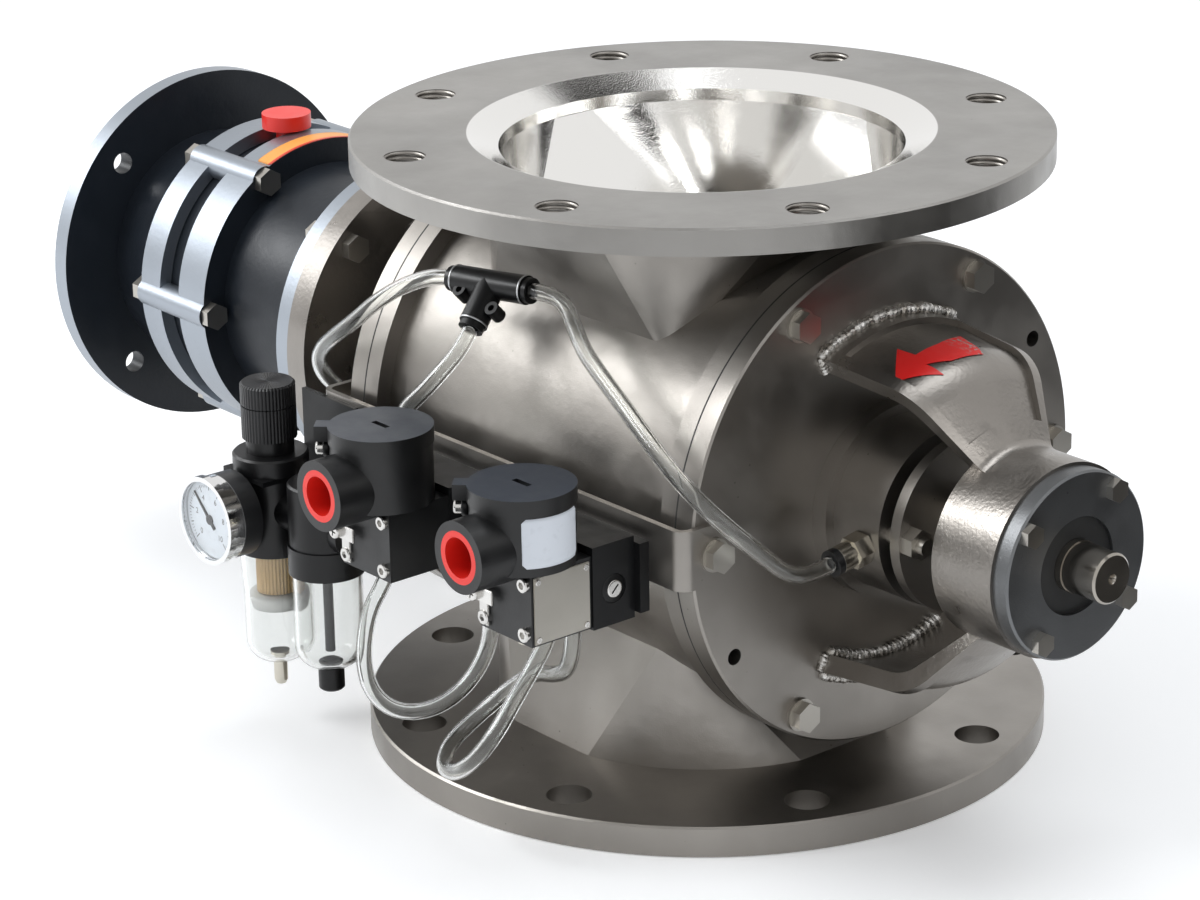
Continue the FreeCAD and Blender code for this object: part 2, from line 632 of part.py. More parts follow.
def purge_collar(side):
    """The release collar of a purge fitting, with the mouth that takes the air tube."""
    angle = S.purge_port_angle
    axis = (0, math.cos(math.radians(angle.number)), math.sin(math.radians(angle.number)))
    y, z = on_ring(S.hub_diameter / 2 + S.purge_hex_height, angle)
    x = side * (COVER_FACE + S.purge_port_distance)
    return rod(x, y, z, axis, S.purge_collar_diameter / 2, S.purge_collar_length)


def shaft_seals():
    """Stuffing boxes welded to the covers, their packing, glands, studs and purge ports."""
    rings, studs, glands = [], [], []
    shaft = S.shaft_diameter / 2
    box, stud_ring = S.box_bore / 2, S.gland_stud_circle / 2
    floor = COVER_FACE + S.box_floor
    nose_start = floor + S.packing_ring_width * S.packing_ring_count
    gland_face = HUB_END + S.gland_gap
    for side in (NEAR, FAR):
        hub = new_body(side_name(side) + "_seal_hub", z=AXIS_HEIGHT)
        throat = shaft + S.seal_shaft_clearance
        collar = COVER_FACE + S.hub_collar_thickness
        spigot = COVER_FACE - S.hub_spigot_depth
        corners = [(spigot, throat), (floor, throat), (floor, box), (HUB_END, box),
                   (HUB_END, S.hub_diameter / 2), (collar, S.hub_diameter / 2),
                   (collar, S.hub_collar_diameter / 2), (COVER_FACE, S.hub_collar_diameter / 2),
                   (COVER_FACE, S.hub_spigot_diameter / 2), (spigot, S.hub_spigot_diameter / 2)]
        revolve(hub, "x", [(side * x, r) for x, r in corners])
        holes = new_sketch(hub, "YZ_Plane", side * HUB_END)
        circle_ring(holes, S.gland_stud_count, stud_ring, 60, S.gland_stud_diameter / 2)
        pocket(hub, holes, S.gland_stud_grip, reverse=side == FAR)
        port = radial_sketch(hub, S.purge_port_angle)
        circle(port, side * (COVER_FACE + S.purge_port_distance), 0,
               S.purge_thread_diameter / 2)
        pocket(hub, port, S.hub_diameter, reverse=True)
        port_fittings.append(port_fitting(side))
        fitting_collars.append(purge_collar(side))
        for i in range(S.packing_ring_count):
            start = floor + S.packing_ring_width * i
            outer = rod(side * start, 0, AXIS_HEIGHT, (side, 0, 0), box, S.packing_ring_width)
            inner = rod(side * start, 0, AXIS_HEIGHT, (side, 0, 0),
                        shaft + S.packing_clearance, S.packing_ring_width)
            rings.append(cut(outer, inner))
        gland = new_body(side_name(side) + "_gland", z=AXIS_HEIGHT)
        glands.append(nodes.pop(gland.Label))
        nose, bore = box - S.gland_nose_clearance, shaft + S.seal_shaft_clearance
        front = gland_face + S.gland_thickness
        corners = [(nose_start, bore), (front, bore), (front, S.gland_diameter / 2),
                   (gland_face, S.gland_diameter / 2), (gland_face, nose), (nose_start, nose)]
        revolve(gland, "x", [(side * x, r) for x, r in corners])
        holes = new_sketch(gland, "YZ_Plane")
        circle_ring(holes, S.gland_stud_count, stud_ring, 60,
                    (S.gland_stud_diameter + S.bolt_hole_clearance) / 2)
        pocket(gland, holes)
        for i in range(S.gland_stud_count):
            y, z = on_ring(stud_ring, 60 + i * 360.0 / S.gland_stud_count)
            start = HUB_END - S.gland_stud_grip
            length = front + S.gland_nut_height + S.gland_stud_tail - start
            stud = rod(side * start, y, z, (side, 0, 0), S.gland_stud_diameter / 2, length)
            nut = hexagon(side * front, y, z, (side, 0, 0), S.gland_nut_width,
                          S.gland_nut_height)
            studs.append(fuse([stud, nut]))
    group("packing_rings", rings)
    group("gland_studs", studs)
    group("glands", glands)


def bracket_profile(end_corners):
    """The outline of a bell bracket, from its foot to the corners of its outer end."""
    foot, shoulder = COVER_FACE, COVER_FACE + S.bracket_shoulder_distance
    return ([(foot, S.bracket_foot_radius),
             (shoulder, S.bracket_shoulder_radius, S.bracket_shoulder_round)]
            + end_corners
            + [(COVER_FACE + S.bracket_inner_distance, S.bracket_inner_radius,
                S.bracket_inner_round),
               (foot, S.bracket_inner_foot_radius)])


def bracket_openings(body, side, bell_end, ring_start, ring_radius):
    """Cuts the two side windows and lowers the web between the rims of both arms."""
    outer, foot = 1.25 * S.bracket_foot_radius, COVER_FACE - 1
    window = [(foot, 0), (bell_end, 0), (bell_end, ring_radius), (ring_start, ring_radius),
              (ring_start, outer), (foot, outer)]
    shoulder = COVER_FACE + S.bracket_shoulder_distance - S.bracket_web_depth / 2
    start = COVER_FACE + S.bracket_web_start
    web = [(start, S.bracket_foot_radius - S.bracket_web_depth - 1),
           (shoulder, S.bracket_shoulder_radius - S.bracket_web_depth,
            S.bracket_shoulder_round - S.bracket_web_depth),
           (bell_end, S.bearing_housing_radius + S.bracket_web_depth * 2.2),
           (bell_end, outer), (start, outer)]
    for sign in (1, -1):
        revolve(body, "x", [(side * x, sign * r) for x, r in window], cut=True,
                angle=180 - 2 * S.bracket_arm_half_angle, plane="XY_Plane", both_ways=True)
        corners = [(side * corner[0], sign * corner[1]) + tuple(corner[2:]) for corner in web]
        revolve(body, "x", corners, cut=True,
                angle=2 * (S.bracket_arm_half_angle - S.bracket_rim_angle), both_ways=True)


def bearing_brackets():
    """The two bell brackets, the near bearing's cap and the screws of both."""
    seat, shoulder = S.bearing_outside / 2, S.bearing_shoulder_radius
    housing_radius = S.bearing_housing_radius
    near = new_body("near_bearing_bracket", z=AXIS_HEIGHT)
    start, end = COVER_FACE + S.bearing_housing_start, COVER_FACE + S.bearing_housing_end
    seat_start = COVER_FACE + S.bearing_seat_start
    root_distance = COVER_FACE + S.bracket_root_distance
    corners = bracket_profile([
        (root_distance, housing_radius, S.bracket_root_round),
        (end, housing_radius), (end, seat), (seat_start, seat), (seat_start, shoulder),
        (start, shoulder), (start, housing_radius)])
    revolve(near, "x", corners)
    bracket_openings(near, NEAR, start, root_distance + S.bracket_root_round / 2,
                     housing_radius)
    holes = new_sketch(near, "YZ_Plane", end)
    circle_ring(holes, 4, S.cap_bolt_circle / 2, S.cap_bolt_angle, S.cap_thread_diameter / 2)
    pocket(near, holes, S.cap_thread_depth)

    far = new_body("far_bearing_bracket", z=AXIS_HEIGHT)
    start = COVER_FACE + S.far_housing_start
    disc_start = COVER_FACE + S.adapter_start
    end = disc_start + S.adapter_thickness
    disc_radius = S.adapter_diameter / 2
    seat_start = COVER_FACE + S.far_seat_start
    corners = bracket_profile([
        (disc_start, S.far_root_radius), (disc_start, disc_radius), (end, disc_radius),
        (end, seat), (seat_start, seat), (seat_start, shoulder), (start, shoulder),
        (start, housing_radius)])
    revolve(far, "x", [(-corner[0],) + tuple(corner[1:]) for corner in corners])
    bracket_openings(far, FAR, start, disc_start, housing_radius)
    holes = new_sketch(far, "YZ_Plane")
    circle_ring(holes, 4, S.adapter_bolt_circle / 2, 45,
                (S.adapter_bolt_diameter + S.bolt_hole_clearance) / 2)
    pocket(far, holes)

    cap = new_body("near_bearing_cap", z=AXIS_HEIGHT)
    face = COVER_FACE + S.bearing_housing_end
    front, bore, outer = face + S.cap_thickness, S.cap_bore / 2, S.cap_diameter / 2
    spigot = seat - S.running_gap
    back = face - S.cap_spigot_depth
    revolve(cap, "x", [(back, bore), (front, bore), (front, outer - 1), (front - 1, outer),
                       (face, outer), (face, spigot), (back, spigot)])
    holes = new_sketch(cap, "YZ_Plane")
    circle_ring(holes, 4, S.cap_bolt_circle / 2, S.cap_bolt_angle,
                (S.cap_thread_diameter + S.bolt_hole_clearance) / 2)
    pocket(cap, holes)
    screws = []
    for i in range(4):
        y, z = on_ring(S.cap_bolt_circle / 2, S.cap_bolt_angle + i * 90)
        tail = face - S.cap_thread_depth + 1
        shank = rod(tail, y, z, (1, 0, 0), S.cap_thread_diameter / 2, front - tail)
        head = hexagon(front, y, z, (1, 0, 0), S.cap_head_width, S.cap_head_height)
        screws.append(fuse([shank, head]))
    group("cap_screws", screws)

    thickness = S.adapter_thickness + S.output_flange_thickness
    for i in range(4):
        y, z = on_ring(S.adapter_bolt_circle / 2, 45 + i * 90)
        head = hexagon(-disc_start, y, z, (1, 0, 0), S.adapter_head_width,
                       S.adapter_head_height)
        back = disc_start + thickness
        length = thickness + S.tie_nut_height + 3
        shank = rod(-disc_start - length, y, z, (1, 0, 0), S.adapter_bolt_diameter / 2, length)
        nut = hexagon(-back, y, z, (-1, 0, 0), S.adapter_head_width, S.tie_nut_height)
        gear_bolts.append(fuse([head, shank, nut]))


def ring(x, axis, outer, inner, width):
    """A plain ring on the shaft's line, from a place x along an axis."""
    return cut(rod(x, 0, AXIS_HEIGHT, axis, outer, width),
               rod(x, 0, AXIS_HEIGHT, axis, inner, width))


def sealed_outer_ring(x, outer, inner, width, bore):
    """A bearing's outer ring with its two shields, which stop just short of the inner ring."""
    inner_radius = outer - S.bearing_ring_wall
    return fuse([ring(x, (1, 0, 0), outer, inner_radius, width),
                 ring(x, (1, 0, 0), inner_radius, inner + S.bearing_seal_gap, 1),
                 ring(x + width - 1, (1, 0, 0), inner_radius, inner + S.bearing_seal_gap, 1)])


def bearings():
    """Rings of the two shaft bearings and of the gear unit's bearings, and the lip seals."""
    outer_rings, inner_rings, input_rings, seals = [], [], [], []
    wall = S.bearing_ring_wall
    near_x = COVER_FACE + S.bearing_seat_start
    far_x = -(COVER_FACE + S.far_seat_start + S.bearing_width)
    outer, bore = S.bearing_outside / 2, S.bearing_bore / 2
    for x in (near_x, far_x):
        outer_rings.append(sealed_outer_ring(x, outer, bore + wall, S.bearing_width, bore))
        inner_rings.append(ring(x, (1, 0, 0), bore + wall, bore, S.bearing_width))
    outer, bore, width = S.carrier_bearing_radius, S.carrier_radius, S.carrier_bearing_width
    for start in (S.carrier_bearing_first, S.carrier_bearing_last):
        x = -(GEAR + start + width)
        outer_rings.append(sealed_outer_ring(x, outer, bore + wall, width, bore))
        inner_rings.append(ring(x, (1, 0, 0), bore + wall, bore, width))
    outer, bore, width = S.journal_bearing_radius, S.journal_radius, S.journal_bearing_width
    x = -(GEAR + S.journal_seat_start + width)
    outer_rings.append(sealed_outer_ring(x, outer, bore + wall, width, bore))
    input_rings.append(ring(x, (1, 0, 0), bore + wall, bore, width))
    disc_x = -(GEAR + S.disc_start + S.disc_thickness)
    top = AXIS_HEIGHT + S.eccentricity
    eccentric = S.eccentric_radius
    input_rings.append(cut(
        rod(disc_x, 0, top, (1, 0, 0), eccentric + S.eccentric_bearing_wall, S.disc_thickness),
        rod(disc_x, 0, top, (1, 0, 0), eccentric, S.disc_thickness)))
    group("bearing_outer_rings", outer_rings)
    group("bearing_inner_rings", inner_rings)
    group("input_bearing_rings", input_rings)
    x = COVER_FACE + S.bearing_housing_end + S.cap_seal_start
    seals.append(ring(x, (1, 0, 0), S.cap_bore / 2, S.stub_diameter / 2 + S.shaft_seal_gap,
                      S.shaft_seal_width))
    x = -(GEAR + S.carrier_start + S.output_seal_width)
    seals.append(ring(x, (1, 0, 0), S.output_throat_radius, S.carrier_radius + S.shaft_seal_gap,
                      S.output_seal_width))
    x = -(GEAR + S.journal_seat_start + S.journal_bearing_width + S.input_seal_width)
    seals.append(ring(x, (1, 0, 0), S.journal_bearing_radius,
                      S.journal_radius + S.shaft_seal_gap, S.input_seal_width))
    group("lip_seals", seals)


def rotor_and_shaft():
    """The stepped shaft and the open-ended rotor with straight vanes."""
    shaft = new_body("rotor_shaft", z=AXIS_HEIGHT)
    full, seat, stub = S.shaft_diameter / 2, S.bearing_bore / 2, S.stub_diameter / 2
    end, bevel = S.shaft_end_diameter / 2, S.shaft_end_bevel
    near_seat = COVER_FACE + S.bearing_seat_start
    near_end = near_seat + S.bearing_width + S.near_seat_tail
    tip = near_end + S.near_stub_length
    far_seat = COVER_FACE + S.far_seat_start
    far_end = far_seat + S.bearing_width
    far_tip = far_end + S.far_stub_length
    hole, deep = S.centre_hole_radius, S.centre_hole_depth
    revolve(shaft, "x", [
        (deep - far_tip, 0), (-far_tip, hole), (-far_tip, stub), (-far_end, stub),
        (-far_end, seat), (-far_seat, seat), (-far_seat, full), (near_seat, full),
        (near_seat, seat), (near_end, seat), (near_end, stub),
        (tip - S.shaft_end_length, stub), (tip - S.shaft_end_length, end), (tip - bevel, end),
        (tip, end - bevel), (tip, hole), (tip - deep, 0)])

    rotor = new_body("rotor", z=AXIS_HEIGHT)
    half = JOINT - S.cover_spigot_depth - S.rotor_end_clearance
    hub = S.rotor_hub_diameter / 2
    revolve(rotor, "x", [(-half, full), (-half, hub), (half, hub), (half, full)])
    vane = new_sketch(rotor, "YZ_Plane")
    thick, reach = S.vane_thickness / 2, ROTOR_BORE / 2 - S.rotor_tip_clearance
    outline(vane, [(-thick, hub - 2), (thick, hub - 2), (thick, reach), (0, reach),
                   (-thick, reach - S.vane_tip_bevel)])
    blade = pad(rotor, vane, 2 * half, centred=True)
    polar(rotor, [blade], "X_Axis", S.vane_count)


def case_rims(body, places):
    """Adds a round rim with a boss round each tie bolt hole, at each start and thickness."""
    for start, thickness in places:
        bosses = new_sketch(body, "YZ_Plane", -(GEAR + start))
        circle_ring(bosses, S.tie_bolt_count, S.tie_bolt_circle / 2, 0, S.tie_boss_diameter / 2)
        pad(body, bosses, thickness, reverse=True)
    holes = new_sketch(body, "YZ_Plane")
    circle_ring(holes, S.tie_bolt_count, S.tie_bolt_circle / 2, 0,
                (S.tie_bolt_diameter + S.bolt_hole_clearance) / 2)
    pocket(body, holes)


def gear_unit():
    """Cases, pins, cycloid disc, output carrier and input shaft of the gear unit."""
    rim = S.ring_diameter / 2
    length = S.output_length
    case_start = length + S.output_rim_thickness
    gap_start = case_start + S.case_front_thickness
    gap_end = gap_start + S.case_gap
    input_start = gap_end + S.case_back_thickness
    hub_start = input_start + S.input_rim_thickness
    hub_end = hub_start + S.input_hub_length - 4
    face = hub_end + S.motor_flange_thickness

    output = new_body("output_housing", z=AXIS_HEIGHT)
    spigot = S.bearing_outside / 2 - S.running_gap
    flange = S.output_flange_diameter / 2
    throat, bore = S.output_throat_radius, S.carrier_bearing_radius
    cavity = S.output_cavity_radius
    corners = [(-2, throat), (-2, spigot), (0, spigot), (0, flange),
               (S.output_flange_thickness, flange),
               (S.output_flange_thickness, S.output_neck_radius),
               (length, S.output_root_radius), (length, rim), (case_start, rim),
               (case_start, cavity), (S.output_cavity_start, cavity),
               (S.output_cavity_start, bore), (S.carrier_bearing_first, bore),
               (S.carrier_bearing_first, throat)]
    revolve(output, "x", [(-(GEAR + x), r) for x, r in corners])
    holes = new_sketch(output, "YZ_Plane", -GEAR)
    circle_ring(holes, 4, S.adapter_bolt_circle / 2, 45,
                (S.adapter_bolt_diameter + S.bolt_hole_clearance) / 2)
    pocket(output, holes, S.output_flange_thickness)
    case_rims(output, [(length, S.output_rim_thickness)])

    case = new_body("pin_gear_housing", z=AXIS_HEIGHT)
    neck = S.pin_case_diameter / 2
    inner = S.pin_circle_radius + 1
    corners = [(case_start, inner), (case_start, rim), (gap_start, rim), (gap_start, neck),
               (gap_end, neck), (gap_end, rim), (input_start, rim), (input_start, inner)]
    revolve(case, "x", [(-(GEAR + x), r) for x, r in corners])
    case_rims(case, [(case_start, S.case_front_thickness), (gap_start, S.case_gap),
                     (gap_end, S.case_back_thickness)])
    pin_count = S.reduction_ratio + 1
    pin_radius = S.ring_pin_diameter / 2
    seats = new_sketch(case, "YZ_Plane", -(GEAR + S.ring_pin_start))
    circle_ring(seats, pin_count, S.pin_circle_radius, 90, pin_radius)
    pocket(case, seats, S.ring_pin_length)
    case_port = radial_sketch(case, term(90))
    circle(case_port, -(GEAR + gap_start + S.case_gap / 2), 0, S.breather_stem_diameter / 2)
    pocket(case, case_port, S.ring_diameter, reverse=True)
    pins = []
    for i in range(pin_count):
        y, z = on_ring(S.pin_circle_radius, 90 + i * 360.0 / pin_count)
        pins.append(rod(-(GEAR + S.ring_pin_start), y, z, (-1, 0, 0), pin_radius,
                        S.ring_pin_length))
    group("ring_pins", pins)

    motor = new_body("input_housing", z=AXIS_HEIGHT)
    seat, register = S.journal_bearing_radius, S.motor_register_diameter / 2
    cavity_start = S.journal_seat_start + S.journal_bearing_width + S.input_seal_width
    corners = [(input_start, S.input_throat_radius), (input_start, rim), (hub_start, rim),
               (hub_start, S.input_hub_radius), (hub_end, S.input_root_radius),
               (hub_end, S.motor_flange_diameter / 2), (face, S.motor_flange_diameter / 2),
               (face, register), (face - S.motor_register_depth, register),
               (face - S.motor_register_depth, S.motor_bore_radius),
               (cavity_start, S.motor_bore_radius), (cavity_start, seat),
               (S.journal_seat_start, seat), (S.journal_seat_start, S.input_throat_radius)]
    revolve(motor, "x", [(-(GEAR + x), r) for x, r in corners])
    case_rims(motor, [(input_start, S.input_rim_thickness)])
    holes = new_sketch(motor, "YZ_Plane", -(GEAR + face))
    circle_ring(holes, 4, S.motor_bolt_circle / 2, 45, S.motor_hole_diameter / 2)
    pocket(motor, holes, S.motor_flange_thickness, reverse=True)

    for i in range(S.tie_bolt_count):
        y, z = on_ring(S.tie_bolt_circle / 2, i * 360.0 / S.tie_bolt_count)
        head = hexagon(-(GEAR + length), y, z, (1, 0, 0), S.tie_head_width, S.tie_head_height)
        reach = hub_start + S.tie_nut_height + 3 - length
        shank = rod(-(GEAR + length), y, z, (-1, 0, 0), S.tie_bolt_diameter / 2, reach)
        nut = hexagon(-(GEAR + hub_start), y, z, (-1, 0, 0), S.tie_head_width,
                      S.tie_nut_height)
        gear_bolts.append(fuse([head, shank, nut]))
    group("gear_unit_bolts", gear_bolts)

    plug_x = -(GEAR + gap_start + S.case_gap / 2)
    stem = rod(plug_x, 0, AXIS_HEIGHT + neck - 6, (0, 0, 1), S.breather_stem_diameter / 2,
               rim - neck + 7)
    cap = rod(plug_x, 0, AXIS_HEIGHT + rim + 1, (0, 0, 1), S.breather_diameter / 2,
              S.breather_height)
    group("breather_plug", [fuse([stem, cap])])

    carrier = new_body("output_carrier", z=AXIS_HEIGHT)
    start, end = S.carrier_start, S.carrier_flange_end
    flange_start = end - S.carrier_flange_thickness
    shaft_end = S.far_stub_length - 2
    stub = S.stub_diameter / 2
    recess = S.pilot_radius + S.running_gap
    corners = [(start, stub), (start, S.carrier_radius), (flange_start, S.carrier_radius),
               (flange_start, S.carrier_flange_radius), (end, S.carrier_flange_radius),
               (end, recess), (S.pilot_recess_start, recess), (S.pilot_recess_start, 0),
               (shaft_end, 0), (shaft_end, stub)]
    revolve(carrier, "x", [(-(GEAR + x), r) for x, r in corners])
    drive_pins = new_sketch(carrier, "YZ_Plane", -(GEAR + end))
    circle_ring(drive_pins, S.drive_pin_count, S.drive_pin_circle / 2, 90,
                S.drive_pin_diameter / 2)
    pad(carrier, drive_pins, S.disc_start + S.disc_thickness + 1 - end, reverse=True)

    shaft = new_body("input_shaft", z=AXIS_HEIGHT)
    journal, motor_bore = S.journal_radius, S.motor_shaft_bore / 2
    disc_end = S.disc_start + S.disc_thickness
    tip, bore_start = S.input_shaft_end, S.input_shaft_end - S.motor_shaft_depth
    corners = [(S.pilot_start, 0), (S.pilot_start, S.pilot_radius),
               (S.disc_start, S.pilot_radius), (S.disc_start, journal), (tip, journal),
               (tip, motor_bore), (bore_start, motor_bore), (bore_start, 0)]
    revolve(shaft, "x", [(-(GEAR + x), r) for x, r in corners])
    lobe = new_sketch(shaft, "YZ_Plane", -(GEAR + S.disc_start))
    circle(lobe, 0, S.eccentricity, S.eccentric_radius)
    pad(shaft, lobe, S.disc_thickness, reverse=True)

    disc = cycloid_disc(-(GEAR + disc_end))
    group("cycloid_disc", [disc])


def cycloid_curve(count, ring_radius, pin_radius, eccentricity, samples):
    """Points on the disc's edge, which rolls inside count pins one lobe at a time."""
    points = []
    for i in range(samples):
        angle = 2 * math.pi * i / samples
        slope = math.atan2(math.sin((1 - count) * angle),
                           ring_radius / (eccentricity * count) - math.cos((1 - count) * angle))
        x = (ring_radius * math.cos(angle) - pin_radius * math.cos(angle + slope)
             - eccentricity * math.cos(count * angle))
        y = (ring_radius * math.sin(angle) - pin_radius * math.sin(angle + slope)
             - eccentricity * math.sin(count * angle))
        points.append(Vector(x, y, 0))
    return points


def cycloid_disc(x):
    """The lobed disc, whose edge is a computed curve, with its bore and drive pin holes."""
    count = S.reduction_ratio + 1
    points = cycloid_curve(count, S.pin_circle_radius.number,
                           S.ring_pin_diameter.number / 2 + S.disc_clearance.number,
                           S.eccentricity.number, 2 * S.lobe_arc_count * S.reduction_ratio)
    points.append(points[0])
    edge = doc.addObject("Part::Feature", "disc_edge")
    edge.Shape = Part.Wire([Part.Arc(*points[i:i + 3]).toShape()
                            for i in range(0, len(points) - 1, 2)])
    turn = Rotation(Vector(0, 0, 1), Vector(0, -1, 0), Vector(1, 0, 0), "ZXY")
    edge.Placement = Placement(Vector(x.number, 0, AXIS_HEIGHT.number + S.eccentricity.number),
                               turn)
    blank = doc.addObject("Part::Extrusion", "disc_blank")
    blank.Base = edge
    blank.DirMode = "Custom"
    blank.Dir = Vector(1, 0, 0)
    blank.Solid = True
    bind(blank, "LengthFwd", S.disc_thickness)
    top = AXIS_HEIGHT + S.eccentricity
    bore = rod(x, 0, top, (1, 0, 0),
               S.eccentric_radius + S.eccentric_bearing_wall + S.running_gap, S.disc_thickness)
    holes = [bore]
    hole = S.drive_pin_diameter / 2 + S.eccentricity + S.disc_clearance
    for i in range(S.drive_pin_count):
        y, z = on_ring(S.drive_pin_circle / 2, 90 + i * 360.0 / S.drive_pin_count)
        holes.append(rod(x, y, z + S.eccentricity, (1, 0, 0), hole, S.disc_thickness))
    return cut(blank, fuse(holes))


def box(sketch, left, bottom, right, top):
    outline(sketch, [(left, bottom), (right, bottom), (right, top), (left, top)])


def cartridge_fitting(x, y, z, axis):
    """A push-in fitting sunk into its port, with only its release collar outside."""
    radius, depth = S.port_bore / 2, S.port_depth
    start = [place - depth * number for place, number in zip((x, y, z), axis)]
    port_fittings.append(rod(*start, axis, radius, depth))
    fitting_collars.append(rod(x, y, z, axis, S.push_ring_diameter / 2, S.push_ring_length))


def elbow_fitting(x, y, z):
    """An elbow under a bottom port, whose mouth faces -X."""
    radius = S.elbow_diameter / 2
    drop = z - S.elbow_drop
    thread = rod(x, y, z, (0, 0, 1), S.port_bore / 2, S.port_depth)
    foot = drop - radius - S.elbow_foot
    leg = rod(x, y, foot, (0, 0, 1), radius, z - foot)
    arm = rod(x, y, drop, (-1, 0, 0), radius - S.elbow_step, S.elbow_reach - S.push_ring_length)
    port_fittings.append(fuse([thread, leg, arm]))
    fitting_collars.append(rod(x - S.elbow_reach + S.push_ring_length, y, drop, (-1, 0, 0),
                               S.push_ring_diameter / 2, S.push_ring_length))


STRAP_FACE = S.end_flange_diameter / 2 + S.strap_gap + S.strap_thickness
VALVE_BACK = STRAP_FACE + S.manifold_depth
VALVE_FRONT = VALVE_BACK + S.valve_depth
PORT_LINE = VALVE_BACK + S.valve_depth / 2
AIR_PORT_LINE = VALVE_FRONT - S.air_port_setback
AIR_LINE = S.air_unit_offset

# Air ports of each valve: the place along the block in port spacings, and up or down.
VALVE_PORTS = {1: ((0.5, -1), (1, 1)), 2: ((0.5, -1), (1.5, -1), (2.5, -1))}
ELBOW_PORT = (2, 0.5)


def valve_axis_x(number):
    return S.valve_axis_distance - (S.valve_pitch if number == 1 else 0)


def valve_port_x(number, column):
    left = valve_axis_x(number) + S.valve_front_overhang - S.valve_length
    return left + S.air_port_spacing * column


def strap_and_manifold():
    """The flat strap bent round both covers, and the plate that carries both valves."""
    bottom = AXIS_HEIGHT - S.strap_height / 2
    strap = new_body("support_strap", z=bottom)
    thick, bend = S.strap_thickness, S.strap_bend_radius
    inner = -(STRAP_FACE - thick)
    near_in, far_in = COVER_FACE, -(COVER_FACE + S.strap_far_standoff)
    near_out, far_out = near_in + thick, far_in - thick
    tab = -(STRAP_FACE - S.strap_tab_length)
    sketch = new_sketch(strap, "XY_Plane")
    outline(sketch, [(near_in, tab), (near_in, inner, bend), (far_in, inner, bend),
                     (far_in, tab), (far_out, tab), (far_out, -STRAP_FACE, bend + thick),
                     (near_out, -STRAP_FACE, bend + thick), (near_out, tab)])
    pad(strap, sketch, S.strap_height)
    hole = new_sketch(strap, "YZ_Plane")
    circle(hole, -S.cover_bolt_circle / 2, S.strap_height / 2,
           (S.cover_thread_diameter + S.bolt_hole_clearance) / 2)
    pocket(strap, hole)

    right = S.valve_axis_distance + S.valve_front_overhang + S.manifold_end_margin
    left = (S.valve_axis_distance - S.valve_pitch + S.valve_front_overhang - S.valve_length
            - S.manifold_end_margin)
    middle = S.valve_bottom_height + S.valve_height / 2
    plate = new_body("valve_manifold", z=middle)
    sketch = new_sketch(plate, "XZ_Plane", STRAP_FACE)
    half = S.manifold_height / 2
    outline(sketch, [(left, -half), (right, -half), (right, half), (left, half)])
    pad(plate, sketch, S.manifold_depth)
    holes = new_sketch(plate, "XZ_Plane", STRAP_FACE)
    heights = (S.valve_screw_low, S.valve_height - S.valve_screw_inset)
    gap_middle = (S.valve_axis_distance * 2 - S.valve_pitch + S.valve_front_overhang * 2
                  - S.valve_length) / 2
    for axis_x in (S.valve_axis_distance, S.valve_axis_distance - S.valve_pitch):
        x = axis_x + S.valve_front_overhang - S.valve_length + S.valve_screw_inset
        for height in heights:
            circle(holes, x, height - S.valve_height / 2, S.valve_screw_diameter / 2)
    for sign in (1, -1):
        circle(holes, gap_middle + sign * S.manifold_screw_spacing / 2, 0,
               S.valve_screw_diameter / 2)
    pocket(plate, holes, S.manifold_depth, reverse=True)
    return gap_middle, middle, heights


def cheese_screw(x, face, z, radius, depth, head_radius, head_height):
    """A screw along y whose round head sits on a face that looks to -y."""
    shank = rod(x, -(face - depth), z, (0, -1, 0), radius, depth)
    head = rod(x, -face, z, (0, -1, 0), head_radius, head_height)
    return fuse([shank, head])


